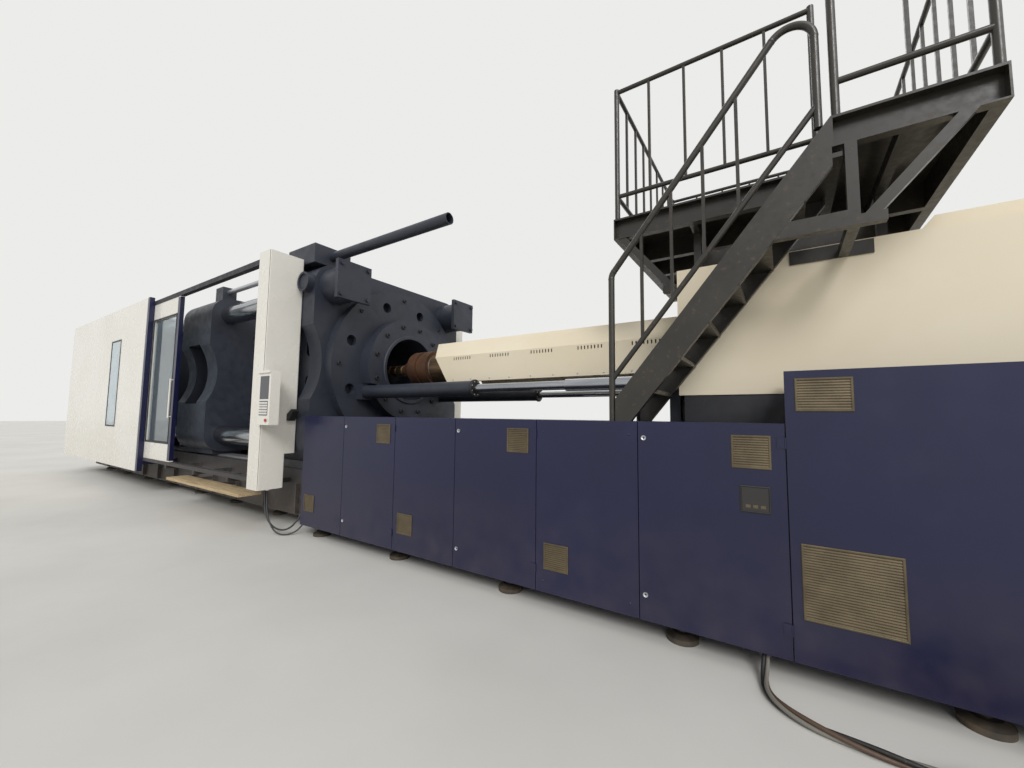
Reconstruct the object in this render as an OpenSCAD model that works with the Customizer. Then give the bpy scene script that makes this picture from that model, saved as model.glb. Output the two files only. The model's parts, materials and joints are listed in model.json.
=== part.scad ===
// Large horizontal injection moulding machine.
// X runs along the machine, from the clamp end to the injection end.
// The fixed platen's mould face is the plane X = 0 and the floor is Z = 0.
// The operator's side is -Y.

/* [Machine] */
// Overall length of the machine
machine_l = 19400; // [19000:100:20400]
// Half width of the machine over the panel box and the rear column
machine_half_w = 2050; // [2040:1:2100]
// Height of the screw and ram centre line
axis_z = 2330; // [2310:10:2400]
// Height of the underside of the beds and cabinets
skirt_z = 150; // [100:5:200]
// Running gap between pieces that slide on each other
gap = 0.3; // [0.2:0.05:0.5]

/* [Platens and tie bars] */
// Half distance between the tie bars, across
tie_y = 1180; // [1150:5:1200]
// Half distance between the tie bars, up and down
tie_z = 1130; // [1100:5:1150]
// Tie bar diameter
tie_d = 340; // [300:10:360]
// Radius of the platen corner round each tie bar
lobe_r = 320; // [300:5:320]
// Depth of the waist in each side of a platen
waist_depth = 150; // [100:5:160]
// Radius of the waist in each side of a platen
waist_r = 1000; // [900:10:1200]
// Thickness of the fixed platen's plate
fixed_t = 1150; // [1000:10:1200]
// Radius of the round ring on the fixed platen
ring_r = 1300; // [1200:5:1300]
// Height of the ring above the plate
ring_t = 150; // [100:5:160]
// Radius of the boss on the ring
boss_r = 820; // [760:5:830]
// Height of the boss above the ring
boss_t = 200; // [150:5:220]
// Radius of the throat that the nozzle runs in
throat_r = 500; // [460:5:560]
// Radius of the locating bore for the mould
locating_r = 125; // [80:5:150]
// Length of the locating bore
locating_l = 110; // [60:5:140]
// Diameter of the large holes in the ring
ring_hole_d = 160; // [120:5:180]
// Radius of the circle of large holes
ring_hole_pitch_r = 1050; // [1000:5:1080]
// Radius of the tapped holes for mould bolts
mould_hole_r = 18; // [10:1:20]
// Depth of the tapped holes for mould bolts
mould_hole_depth = 90; // [60:5:120]
// Inner square of mould bolt holes, hole to hole
mould_square_in = 900; // [700:10:1000]
// Outer square of mould bolt holes, hole to hole
mould_square_out = 1500; // [1300:10:1600]
// Distance between the mould faces at rest
daylight = 2200; // [2000:50:2400]
// Thickness of the moving platen
moving_t = 1300; // [1200:10:1400]
// Thickness of the moving platen's mould wall
mould_wall_t = 420; // [380:10:480]
// Length of the ejector cavity in the moving platen
cavity_l = 520; // [480:10:560]
// Half height of the ejector cavity
cavity_half_h = 560; // [450:10:600]
// Thickness of the rear platen
rear_t = 1000; // [800:10:1100]
// Outer radius of the tie bar nuts
nut_r = 260; // [230:5:280]
// Length of the tie bar nuts
nut_l = 390; // [300:10:420]
// Width of the square retaining plates
retainer_w = 540; // [480:10:580]
// Thickness of the retaining plates
retainer_t = 60; // [40:5:80]
// Diameter of the retaining plate bolt heads
retainer_bolt_d = 56; // [36:2:70]

/* [Clamp] */
// Radius of the clamp ram
ram_r = 350; // [300:10:380]
// Length of the clamp ram
ram_l = 3400; // [3200:50:3600]
// Radius of the flange on the ram
ram_flange_r = 480; // [440:5:520]
// Outer radius of the clamp cylinder
cylinder_r = 560; // [500:10:600]
// Length of the clamp cylinder behind the rear platen
cylinder_tail = 2400; // [2000:50:2700]
// Gap between the moving platen and the rear platen at rest
clamp_space = 1800; // [1500:50:2000]
// Radius of the ejector rods
ejector_rod_r = 30; // [20:1:40]
// Thickness of the ejector crosshead
ejector_t = 120; // [90:5:140]
// Radius of the safety rod over the platens
safety_rod_r = 45; // [35:1:50]
// Outer radius of the guard tube round the safety rod
safety_tube_r = 70; // [66:1:80]
// Wall of the guard tube
safety_tube_wall = 10; // [5:1:12]
// Height of the safety rod above the centre line
safety_dz = 1600; // [1580:5:1650]

/* [Beds] */
// Height of the clamp bed
bed_top = 800; // [760:10:830]
// Half width of the clamp bed
bed_half_w = 1350; // [1300:10:1360]
// Width of each side beam of the clamp bed
bed_beam_w = 500; // [450:10:550]
// Wall of the bed beams
bed_wall = 30; // [20:1:40]
// Width of a slide way
way_w = 220; // [180:10:260]
// Thickness of a slide way
way_t = 30; // [20:1:40]
// Distance from the centre line to a slide way of the clamp
way_y = 1100; // [1050:5:1150]
// Height of the injection bed
injection_bed_top = 1500; // [1460:10:1530]
// Half width of the injection bed
injection_bed_half_w = 1100; // [1080:5:1120]
// Where the injection bed starts
injection_bed_x = 1660; // [1650:10:1700]
// Distance from the centre line to a slide way of the carriage
carriage_way_y = 640; // [560:10:700]
// Radius of the levelling pads
pad_r = 110; // [80:5:130]
// Height of the levelling pads
pad_h = 60; // [40:5:80]

/* [Cabinets] */
// Front of the cabinets, from the centre line
cabinet_y = 1600; // [1580:5:1650]
// Height of the low cabinets
low_cabinet_top = 1570; // [1540:5:1600]
// Width of a low cabinet door
door_w = 920; // [800:5:940]
// Width of a fixed panel between the doors
panel_w = 870; // [800:5:900]
// Number of doors, each with one fixed panel
bay_count = 3; // [3:1:3]
// Thickness of the doors and panels
door_t = 25; // [20:1:30]
// Gap between neighbouring doors and panels
door_gap = 6; // [4:1:10]
// Where the low cabinets end and the tall one starts
cabinet_split_x = 6600; // [6500:10:6700]
// Height of the tall cabinet
tall_cabinet_top = 1900; // [1850:10:1950]
// Wall of the cabinet cases
case_wall = 12; // [8:1:20]
// Width of a small vent
vent_w = 200; // [160:5:240]
// Height of a small vent
vent_h = 190; // [150:5:220]
// Pitch of the vent slats
vent_pitch = 24; // [20:1:30]

/* [Operator column] */
// Where the column's face towards the injection end lies
column_x = 850; // [820:5:900]
// Width of the column along the machine
column_w = 300; // [260:5:340]
// Underside of the column's front half
column_foot_z = 590; // [560:5:620]
// Underside of the column's rear half
column_step_z = 1050; // [1000:5:1100]
// Top of the column
column_top_z = 3830; // [3800:5:3900]
// Depth of the column's front half
column_front_d = 340; // [300:5:360]
// Corner radius of the column
column_corner_r = 20; // [10:1:30]
// Wall of the column's sheet
column_wall = 4; // [3:0.5:6]
// Width of the panel box along the machine
panel_box_w = 310; // [280:5:340]
// Depth of the panel box
panel_box_d = 140; // [120:5:160]
// Underside of the panel box
panel_box_z = 1450; // [1400:5:1500]
// Height of the panel box
panel_box_h = 700; // [650:5:750]
// Width of the screen
screen_w = 230; // [200:5:250]
// Height of the screen
screen_h = 300; // [260:5:320]

/* [Gates and covers] */
// Where the open gate's leading edge lies
gate_x = -2500; // [-2550:10:-2450]
// Length of the gate
gate_l = 3050; // [3040:5:3060]
// Thickness of the gate
gate_t = 60; // [40:5:60]
// Outer face of the gate, from the centre line
gate_y = 1890; // [1880:1:1895]
// Underside of the gate
gate_z = 720; // [700:5:740]
// Top of the gate
gate_top_z = 3720; // [3680:5:3740]
// Where the clamp cover starts
cover_x = -3900; // [-3950:10:-3850]
// Underside of the clamp covers
cover_z = 460; // [420:5:500]
// Top of the clamp covers
cover_top_z = 3870; // [3830:5:3900]
// Depth of the folded edge of a cover
cover_d = 80; // [60:5:80]
// Sheet thickness of the covers
cover_wall = 4; // [3:0.5:6]
// Height of the step board
step_z = 500; // [480:5:520]
// Length of the step board
step_l = 2600; // [2300:10:2700]

/* [Injection unit] */
// Radius of the barrel
barrel_r = 210; // [190:5:220]
// Radius of the barrel's bore
barrel_bore_r = 105; // [90:5:110]
// Radius of the barrel head
head_r = 270; // [255:5:290]
// Where the barrel head starts
head_x = 1700; // [1680:10:1750]
// Where the nozzle tip lies at rest
nozzle_x = 760; // [755:5:800]
// Radius of the nozzle
nozzle_r = 80; // [60:5:100]
// Radius of the screw's root
screw_r = 72; // [60:1:80]
// Where the bearing housing of the barrel starts
housing_x = 6600; // [6560:10:6700]
// Length of the bearing housing
housing_l = 600; // [500:10:650]
// Half width of the bearing housing
housing_half_w = 740; // [720:5:760]
// Distance from the centre line to an injection cylinder
cylinder_y = 560; // [555:5:565]
// Outer radius of the injection cylinders
stroke_cylinder_r = 125; // [110:5:130]
// Radius of the feed throat
feed_r = 110; // [80:5:130]
// Half width of the barrel guard
guard_half_w = 420; // [400:5:440]
// Half width of the barrel guard's flat top
guard_top_half_w = 200; // [180:5:240]
// Underside of the barrel guard
guard_z = 2060; // [2040:5:2080]
// Fold of the barrel guard
guard_fold_z = 2420; // [2400:5:2450]
// Top of the barrel guard
guard_top_z = 2660; // [2640:5:2700]
// Where the barrel guard's top starts
guard_x = 2300; // [2280:5:2350]
// Sheet thickness of the barrel guard
guard_wall = 4; // [3:0.5:6]
// Radius of the shift cylinders
shift_r = 95; // [80:5:100]
// Distance from the centre line to a shift cylinder
shift_y = 780; // [770:5:800]
// Height of the shift cylinders
shift_z = 1930; // [1900:5:1950]
// Radius of the shift cylinder rods
shift_rod_r = 50; // [40:2:60]
// Injection stroke of the screw
injection_stroke = 800; // [700:10:850]
// Start of the drive cover
drive_cover_x = 5860; // [5820:10:5900]
// Half width of the drive cover
drive_cover_half_w = 1000; // [980:5:1020]
// Underside of the drive cover
drive_cover_z = 1790; // [1760:5:1820]
// Top of the drive cover
drive_cover_top_z = 2870; // [2850:5:2900]

/* [Platform and stairs] */
// Height of the platform floor
deck_z = 3480; // [3440:10:3560]
// Left end of the platform
deck_x0 = 5300; // [5260:10:5340]
// Right end of the platform
deck_x1 = 7650; // [7600:10:7700]
// Front edge of the platform, from the centre line
deck_front = 1000; // [1000:1:1040]
// Rear edge of the platform, from the centre line
deck_rear = 1500; // [1400:10:1550]
// Front edge of the landing, from the centre line
landing_front = 1600; // [1580:1:1620]
// Left end of the landing
landing_x = 6900; // [6880:5:6940]
// Depth of the platform's channel beams
deck_beam_h = 200; // [160:5:220]
// Width of the platform's channel beams
deck_beam_w = 70; // [60:5:80]
// Sheet thickness of the channel beams
deck_beam_wall = 10; // [6:1:12]
// Width of the struts and legs under the platform
strut_w = 60; // [50:5:70]
// Height of the handrails above the floor
rail_h = 1290; // [1100:10:1300]
// Height of the low rails above the floor
low_rail_h = 230; // [180:10:300]
// Diameter of the handrail tube
rail_d = 48; // [42:1:52]
// Width of the square balusters
baluster_w = 22; // [16:1:26]
// Distance between balusters
baluster_pitch = 310; // [280:10:340]
// Foot of the stairs
stair_x = 5510; // [5500:5:5540]
// Depth of a stair stringer
stringer_d = 200; // [180:5:220]
// Width of a stair stringer's flanges
stringer_w = 50; // [40:5:60]
// Height of the upright toe of a stringer
stringer_toe_h = 170; // [150:5:190]
// Number of stair treads
tread_count = 7; // [7:1:7]
// Depth of a tread
tread_d = 210; // [180:5:220]
// Thickness of a tread
tread_t = 30; // [20:1:40]

/* [Cables] */
// Diameter of the first hose from the column to the cabinet
loop_1_d = 24; // [20:1:28]
// Diameter of the second hose from the column to the cabinet
loop_2_d = 20; // [16:1:24]
// Diameter of the main cable
main_cable_d = 50; // [44:1:52]

/* [Hidden] */
$fn = 64;
eps = 1;
rest_x = machine_l / 2;
column_y = machine_half_w - 70;
fixed_face_x = fixed_t + ring_t;
boss_face_x = fixed_face_x + boss_t;
moving_back_x = -(daylight + moving_t);
rear_face_x = moving_back_x - clamp_space;
rear_back_x = rear_face_x - rear_t;
tie_front_x = fixed_t + nut_l;
tie_back_x = rear_back_x - nut_l;
way_top = bed_top + way_t;
carriage_way_top = injection_bed_top + way_t;
safety_z = axis_z + safety_dz;
platen_half_h = tie_z + lobe_r;
platen_half_w = tie_y + lobe_r;
low_cabinet_x = cabinet_split_x - bay_count * (door_w + panel_w);
bay_w = door_w + panel_w;
gate_side_y = gate_y - gate_t;
cavity_x = -(daylight + mould_wall_t + cavity_l);
housing_back_x = housing_x + housing_l;
drive_plate_x = housing_back_x + injection_stroke + 200;
stair_slope = (deck_z - low_cabinet_top - stringer_toe_h) / (landing_x - stair_x);
stringer_drop = stringer_d / cos(atan(stair_slope));
deck_low_z = deck_z - deck_beam_h;

// A box from its low corner to its high corner.
module box(low, high) {
    translate(low) cube(high - low);
}

// A box on the +Y side, or its mirror image on the -Y side.
module side_box(low, high, side) {
    if (side > 0)
        box(low, high);
    else
        mirror([0, 1, 0]) box(low, high);
}

// A flat outline in the YZ plane, extruded along X from x0.
module along_x(x0, length) {
    translate([x0, 0, axis_z]) rotate([90, 0, 90]) linear_extrude(length) children();
}

// A flat outline in the XZ plane, extruded along Y from low_y.
module along_y(low_y, length) {
    translate([0, low_y + length, 0]) rotate([90, 0, 0]) linear_extrude(length) children();
}

// A round bar or tube along X.
module bar_x(x0, x1, y, z, r, hole_r = 0) {
    translate([x0, y, z]) rotate([0, 90, 0]) difference() {
        cylinder(h = x1 - x0, r = r);
        if (hole_r > 0) translate([0, 0, -eps]) cylinder(h = x1 - x0 + 2 * eps, r = hole_r);
    }
}

// A round bar between two points.
module rod(from, to, r) {
    along = to - from;
    length = norm(along);
    translate(from)
        rotate([0, acos(along[2] / length), atan2(along[1], along[0])])
            cylinder(h = length, r = r);
}

// Runs its children at the four tie bars.
module at_tie_bars() {
    for (side = [-1, 1], level = [-1, 1])
        translate([0, side * tie_y, axis_z + level * tie_z]) children();
}

// The four-lobed outline that all three platens share.
module platen_outline() {
    difference() {
        union() {
            square([2 * tie_y, 2 * platen_half_h], center = true);
            square([2 * platen_half_w, 2 * tie_z], center = true);
            for (side = [-1, 1], level = [-1, 1])
                translate([side * tie_y, level * tie_z]) circle(lobe_r);
        }
        for (side = [-1, 1])
            translate([side * (platen_half_w + waist_r - waist_depth), 0]) circle(waist_r);
    }
}

// Tapped holes for mould bolts, on two squares, into +X from x0.
module mould_holes(x0) {
    for (square_w = [mould_square_in, mould_square_out], side = [-1, 1], level = [-1, 1])
        bar_x(x0, x0 + mould_hole_depth + eps, side * square_w / 2,
            axis_z + level * square_w / 2, mould_hole_r);
}

// Holes for the tie bars through a platen.
module tie_holes(x0, x1, clearance) {
    for (side = [-1, 1], level = [-1, 1])
        bar_x(x0 - eps, x1 + eps, side * tie_y, axis_z + level * tie_z,
            tie_d / 2 + clearance);
}

foot_in_y = 820;
foot_out_y = 1320;

// A pair of feet under a platen, down to the given level.
module platen_feet(x0, x1, floor_z) {
    for (side = [-1, 1]) {
        low_y = side > 0 ? foot_in_y : -foot_out_y;
        box([x0, low_y, floor_z],
            [x1, low_y + foot_out_y - foot_in_y, axis_z - platen_half_h + 60]);
    }
}

pocket_d = 150;
pocket_x0 = 300;
pocket_x1 = 850;
pocket_half_h = 630;
clevis_l = 130;
clevis_w = 180;
clevis_h = 220;
cone_l = 160;

// A hole with straight sides and round ends, h high in all.
module oval(w, h) {
    square([w, h - w], center = true);
    for (level = [-1, 1]) translate([0, level * (h - w) / 2]) circle(w / 2);
}

module fixed_platen() {
    wall_y = platen_half_w - waist_depth - pocket_d;
    color("dimgray") difference() {
        union() {
            along_x(0, fixed_t) platen_outline();
            along_x(fixed_t, ring_t) circle(ring_r);
            along_x(fixed_face_x, boss_t) circle(boss_r);
            platen_feet(80, fixed_t - 80, bed_top);
        }
        tie_holes(0, fixed_t, gap);
        mould_holes(-eps);
        bar_x(-eps, locating_l + eps, 0, axis_z, locating_r);
        translate([locating_l, 0, axis_z]) rotate([0, 90, 0])
            cylinder(h = cone_l, r1 = locating_r + 20, r2 = throat_r);
        bar_x(locating_l + cone_l - eps, boss_face_x + eps, 0, axis_z, throat_r);
        for (quarter = [0:3], side = [-1, 1])
            translate([fixed_face_x - 120, 0, axis_z])
                rotate([quarter * 90 + side * 20, 0, 0])
                    translate([0, 0, ring_hole_pitch_r]) rotate([0, 90, 0])
                        cylinder(h = 120 + eps, d = ring_hole_d);
        for (side = [-1, 1]) {
            side_box([pocket_x0, wall_y, axis_z - pocket_half_h],
                [pocket_x1, platen_half_w + eps, axis_z + pocket_half_h], side);
            side_box([fixed_face_x, shift_y - clevis_w / 2 - 20, shift_z - clevis_h / 2 - 20],
                [boss_face_x + eps, boss_r + eps, shift_z + clevis_h / 2 + 20], side);
            for (level = [-1, 1])
                translate([(pocket_x0 + pocket_x1) / 2, side * (wall_y - 60), axis_z + level * 300])
                    rotate([90, 0, 0]) linear_extrude(160, center = true) oval(160, 300);
        }
    }
}

module tie_bars() {
    color("lightsteelblue") at_tie_bars() rotate([0, 90, 0]) translate([0, 0, tie_back_x])
        cylinder(h = tie_front_x - tie_back_x, d = tie_d);
}

module tie_bar_nuts() {
    color("dimgray") at_tie_bars() {
        for (x0 = [fixed_t, tie_back_x])
            bar_x(x0, x0 + nut_l, 0, 0, nut_r, tie_d / 2 + gap);
    }
}

retainer_bolt_pitch = retainer_w - 110;

module retaining_plates() {
    color("dimgray") at_tie_bars() {
        translate([tie_front_x, -retainer_w / 2, -retainer_w / 2])
            cube([retainer_t, retainer_w, retainer_w]);
        for (side = [-1, 1], level = [-1, 1])
            translate([tie_front_x + retainer_t, side * retainer_bolt_pitch / 2,
                    level * retainer_bolt_pitch / 2])
                rotate([0, 90, 0]) cylinder(h = 30, d = retainer_bolt_d);
    }
}

module moving_platen() {
    color("dimgray") difference() {
        union() {
            along_x(moving_back_x, moving_t) platen_outline();
            platen_feet(moving_back_x + 80, -daylight - 80, way_top + gap);
            box([-daylight - 420, -tie_y - 120, axis_z + platen_half_h - 40],
                [-daylight - 120, -tie_y + 120, safety_z + 90]);
        }
        tie_holes(moving_back_x, -daylight, 1);
        translate([-daylight + eps, 0, 0]) mirror([1, 0, 0]) mould_holes(0);
        box([cavity_x, -platen_half_w - eps, axis_z - cavity_half_h],
            [cavity_x + cavity_l, platen_half_w + eps, axis_z + cavity_half_h]);
        for (side = [-1, 1], level = [-1, 1])
            bar_x(cavity_x + cavity_l - eps, -daylight + eps, side * 300,
                axis_z + level * 300, ejector_rod_r + gap);
        bar_x(-daylight - 420 - eps, -daylight - 120 + eps, -tie_y, safety_z,
            safety_rod_r + gap);
    }
}

ejector_x = cavity_x + 30;

module ejector() {
    color("silver") union() {
        box([ejector_x, -900, axis_z - 380], [ejector_x + ejector_t, 900, axis_z + 380]);
        for (side = [-1, 1], level = [-1, 1])
            bar_x(ejector_x + ejector_t - eps, -daylight - 20, side * 300,
                axis_z + level * 300, ejector_rod_r);
    }
}

module clamp_ram() {
    color("lightsteelblue") union() {
        bar_x(moving_back_x - ram_l, moving_back_x, 0, axis_z, ram_r);
        bar_x(moving_back_x - 90, moving_back_x, 0, axis_z, ram_flange_r);
    }
}

module rear_platen() {
    color("dimgray") difference() {
        union() {
            along_x(rear_back_x, rear_t) platen_outline();
            platen_feet(rear_back_x + 60, rear_face_x - 60, bed_top);
        }
        tie_holes(rear_back_x, rear_face_x, gap);
        bar_x(rear_back_x - eps, rear_face_x + eps, 0, axis_z, cylinder_r + gap);
    }
}

module clamp_cylinder() {
    color("slategray") difference() {
        union() {
            bar_x(rear_back_x - cylinder_tail, rear_face_x + 60, 0, axis_z, cylinder_r);
            bar_x(rear_face_x, rear_face_x + 60, 0, axis_z, cylinder_r + 90);
            bar_x(rear_back_x - cylinder_tail, rear_back_x - cylinder_tail + 160, 0, axis_z,
                cylinder_r + 60);
        }
        bar_x(rear_back_x - cylinder_tail + 200, rear_face_x - 200, 0, axis_z, ram_r + 30);
        bar_x(rear_face_x - 200 - eps, rear_face_x + 60 + eps, 0, axis_z, ram_r + gap);
    }
}

module safety_rod() {
    color("silver") bar_x(-daylight - 420, 900, -tie_y, safety_z, safety_rod_r);
}

module safety_guide() {
    color("gray") difference() {
        union() {
            box([350, -tie_y - 290, axis_z + platen_half_h],
                [1050, -tie_y + 290, safety_z + 130]);
            bar_x(1050 - eps, 3360, -tie_y, safety_z, safety_tube_r);
        }
        bar_x(350 - eps, 3360 + eps, -tie_y, safety_z, safety_tube_r - safety_tube_wall);
    }
}

cap_x = 1000;
cap_r = 140;

module platen_cap() {
    color("gray") translate([cap_x, -platen_half_w - 100, axis_z + tie_z]) rotate([-90, 0, 0])
        difference() {
            cylinder(h = 100 - gap, r = cap_r);
            translate([0, 0, -eps]) cylinder(h = 20 + eps, r = cap_r - 30);
        }
}

drop_x0 = -daylight + 100;
drop_x1 = -100;

// One side beam of the clamp bed: a hollow box with a ribbed outer side.
module bed_beam(side) {
    low_y = side > 0 ? bed_half_w - bed_beam_w : -bed_half_w;
    low_x = -rest_x + 100;
    difference() {
        box([low_x, low_y, skirt_z], [fixed_t + 50, low_y + bed_beam_w, bed_top]);
        box([low_x + bed_wall, low_y + bed_wall, skirt_z + bed_wall],
            [fixed_t + 50 - bed_wall, low_y + bed_beam_w - bed_wall, bed_top - bed_wall]);
    }
    for (x0 = [low_x + 430:900:fixed_t - 300])
        side_box([x0, bed_half_w, skirt_z + 30],
            [x0 + 30, bed_half_w + 60, track_low_z - 60], side);
}

bracket_xs = [-2060, -1160, -260];
track_arm_xs = [-5600, -2640, -1440, -240, 420];
track_half_w = 40;
track_mid_y = gate_y - gate_t / 2;
track_low_z = gate_z - gap - 60;

module clamp_bed() {
    inner = bed_half_w - bed_beam_w;
    low_x = -rest_x + 100;
    color("darkslategray") {
        for (side = [-1, 1]) bed_beam(side);
        box([low_x, -inner, skirt_z], [drop_x0, inner, skirt_z + 40]);
        box([low_x, -inner, bed_top - 40], [drop_x0, inner, bed_top]);
        for (x0 = [low_x, rear_back_x, rear_face_x, moving_back_x, drop_x0 - 60])
            box([x0, -inner, skirt_z + 40], [x0 + 60, inner, bed_top - 40]);
        box([drop_x1, -inner, skirt_z], [drop_x1 + 60, inner, bed_top - 40]);
        box([drop_x1, -inner, bed_top - 40], [fixed_t + 50, inner, bed_top]);
        for (x0 = bracket_xs)
            box([x0, -column_y + 40, step_z - 90], [x0 + 60, -bed_half_w, step_z - 40]);
        for (x0 = track_arm_xs, side = [-1, 1])
            side_box([x0, bed_half_w, track_low_z - 60],
                [x0 + 60, track_mid_y + track_half_w, track_low_z], side);
    }
}

module slide_ways() {
    color("silver") {
        for (side = [-1, 1]) {
            translate([rear_face_x + 60, side * way_y - way_w / 2, bed_top])
                cube([-rear_face_x - 160, way_w, way_t]);
            translate([injection_bed_x + 2400, side * carriage_way_y - way_w / 2,
                    injection_bed_top])
                cube([rest_x - injection_bed_x - 2600, way_w, way_t]);
        }
    }
}

module injection_bed() {
    half = injection_bed_half_w;
    color("darkslategray") {
        box([fixed_t + 50, -half, skirt_z], [injection_bed_x, half, bed_top - 20]);
        difference() {
            box([injection_bed_x, -half, skirt_z], [rest_x - 80, half, injection_bed_top]);
            box([injection_bed_x + bed_wall, -half + bed_wall, skirt_z + bed_wall],
                [rest_x - 80 - bed_wall, half - bed_wall, injection_bed_top - bed_wall]);
        }
        for (side = [-1, 1]) {
            low_y = side > 0 ? drive_cover_half_w - 90 : -drive_cover_half_w + 10;
            box([drive_cover_x + 40, low_y, injection_bed_top + gap],
                [rest_x - 100, low_y + 80, drive_cover_z]);
        }
    }
}

// A round levelling pad with its spindle, up to the underside at the given level.
module levelling_pad(x, y, top_z) {
    translate([x, y, 0]) {
        cylinder(h = pad_h * 0.6, r = pad_r);
        translate([0, 0, pad_h * 0.6 - eps])
            cylinder(h = pad_h * 0.4 + eps, r1 = pad_r, r2 = pad_r * 0.6);
        cylinder(h = top_z, r = pad_r * 0.28);
    }
}

module levelling_mounts() {
    color("black") {
        for (x = [-rest_x + 500:1500:fixed_t], side = [-1, 1])
            levelling_pad(x, side * (bed_half_w - bed_beam_w / 2), skirt_z);
        for (x = [injection_bed_x + 300:1500:rest_x - 300], side = [-1, 1])
            levelling_pad(x, side * (injection_bed_half_w - 250), skirt_z);
        for (x = [low_cabinet_x + 200:1500:rest_x - 300])
            levelling_pad(x, -cabinet_y + 200, skirt_z);
    }
}

// Plan outline of a column: a rectangle with round corners.
module round_rect(w, d, r) {
    translate([r, 0]) square([w - 2 * r, d]);
    translate([0, r]) square([w, d - 2 * r]);
    for (x = [r, w - r], y = [r, d - r]) translate([x, y]) circle(r);
}

// A tall sheet-metal column, closed all round.
module column_shell(depth) {
    rear_d = depth - column_front_d;
    difference() {
        union() {
            translate([0, 0, column_step_z])
                linear_extrude(column_top_z - column_step_z)
                    round_rect(column_w, depth, column_corner_r);
            translate([0, 0, column_foot_z])
                linear_extrude(column_top_z - column_foot_z)
                    round_rect(column_w, column_front_d, column_corner_r);
        }
        translate([column_wall, column_wall, column_step_z + column_wall])
            cube([column_w - 2 * column_wall, depth - 2 * column_wall,
                column_top_z - column_step_z - 2 * column_wall]);
        translate([column_wall, column_wall, column_foot_z + column_wall])
            cube([column_w - 2 * column_wall, column_front_d - 2 * column_wall,
                column_step_z - column_foot_z]);
    }
}

column_depth = column_y - platen_half_w - gap;
rear_column_depth = machine_half_w - platen_half_w - gap;

gland_l = 24;
column_gland_y = 180;
column_gland_xs = [150, 210];

module operator_column() {
    color("ivory") translate([column_x - column_w, -column_y, 0]) union() {
        column_shell(column_depth);
        for (x = column_gland_xs)
            translate([x, column_gland_y, column_foot_z - gland_l])
                cylinder(h = gland_l + column_wall / 2, r = 22);
    }
}

module rear_column() {
    color("ivory") translate([column_x - column_w, machine_half_w, 0]) mirror([0, 1, 0])
        column_shell(rear_column_depth);
}

panel_box_x = column_x + gap;
screen_x = panel_box_x + (panel_box_w - screen_w) / 2;
screen_z = panel_box_z + panel_box_h - screen_h - 70;
key_rows = 5;
key_columns = 6;
key_pitch = 34;
stop_x = panel_box_x + panel_box_w - 70;
stop_z = panel_box_z + 60;

module panel_box() {
    front = -machine_half_w;
    color("ivory") difference() {
        union() {
            box([panel_box_x, front + 20, panel_box_z],
                [panel_box_x + panel_box_w, front + panel_box_d, panel_box_z + panel_box_h]);
            box([panel_box_x, front, panel_box_z + panel_box_h - 30],
                [panel_box_x + panel_box_w, front + panel_box_d, panel_box_z + panel_box_h]);
            for (row = [0:key_rows - 1], column = [0:key_columns - 1])
                box([screen_x + 14 + column * key_pitch, front + 14, screen_z - 60 - row * key_pitch],
                    [screen_x + 40 + column * key_pitch, front + 21,
                        screen_z - 36 - row * key_pitch]);
        }
        box([screen_x, front, screen_z], [screen_x + screen_w, front + 30, screen_z + screen_h]);
        translate([stop_x, front + 20 - eps, stop_z]) rotate([-90, 0, 0])
            cylinder(h = 40, r = 12);
    }
}

module panel_screen() {
    color("skyblue")
        box([screen_x + gap, -machine_half_w + 22, screen_z + gap],
            [screen_x + screen_w - gap, -machine_half_w + 30, screen_z + screen_h - gap]);
}

module emergency_stop() {
    color("red") translate([stop_x, -machine_half_w + 20, stop_z]) rotate([-90, 0, 0])
        union() {
            translate([0, 0, -10]) cylinder(h = 40, r = 12 - gap);
            translate([0, 0, -18]) cylinder(h = 8, r = 20);
        }
}

hood_y = -1645;
hood_z = 1500;

module plug_hood() {
    color("black") translate([column_x + gap, 0, hood_z]) along_y(hood_y, 90)
        polygon([[0, 0], [60, 0], [150, 130], [110, 160], [0, 90]]);
}

module gate_tracks() {
    x0 = gate_x - gate_l - 100;
    x1 = column_x - column_w - gap;
    low_y = track_mid_y - track_half_w;
    high_y = track_mid_y + track_half_w;
    color("dimgray") {
        for (side = [-1, 1]) {
            side_box([x0, low_y, gate_top_z + gap], [x1, high_y, gate_top_z + gap + 80], side);
            side_box([x0, low_y, track_low_z], [x1, high_y, gate_z - gap], side);
        }
    }
}

// A sliding gate: a frame of sheet metal with one large window opening.
module gate_frame(low_y) {
    high_y = low_y + gate_t;
    window_x0 = gate_x - 1250;
    difference() {
        box([gate_x - gate_l, low_y, gate_z], [gate_x, high_y, gate_top_z]);
        box([window_x0, low_y - eps, gate_z + 330], [gate_x - 130, high_y + eps, gate_top_z - 330]);
        box([gate_x - gate_l + 130, low_y - eps, gate_z + 330],
            [window_x0 - 130, high_y + eps, gate_top_z - 330]);
    }
}

handle_x = gate_x - 60;
handle_z = 1500;
handle_l = 700;
handle_stand = 45;

module gate_front() {
    color("ivory") union() {
        gate_frame(-gate_y);
        translate([handle_x, -gate_y - handle_stand, handle_z]) cylinder(h = handle_l, r = 12);
        for (z = [handle_z + 20, handle_z + handle_l - 20])
            translate([handle_x, -gate_y - handle_stand, z]) rotate([-90, 0, 0])
                cylinder(h = handle_stand + eps, r = 10);
    }
}

module gate_window() {
    pane_y = -gate_y + gate_t / 2;
    color("lightblue") {
        box([gate_x - 1250 + gap, pane_y - 4, gate_z + 330 + gap],
            [gate_x - 130 - gap, pane_y + 4, gate_top_z - 330 - gap]);
        box([gate_x - gate_l + 130 + gap, pane_y - 4, gate_z + 330 + gap],
            [gate_x - 1250 - 130 - gap, pane_y + 4, gate_top_z - 330 - gap]);
    }
}

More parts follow.
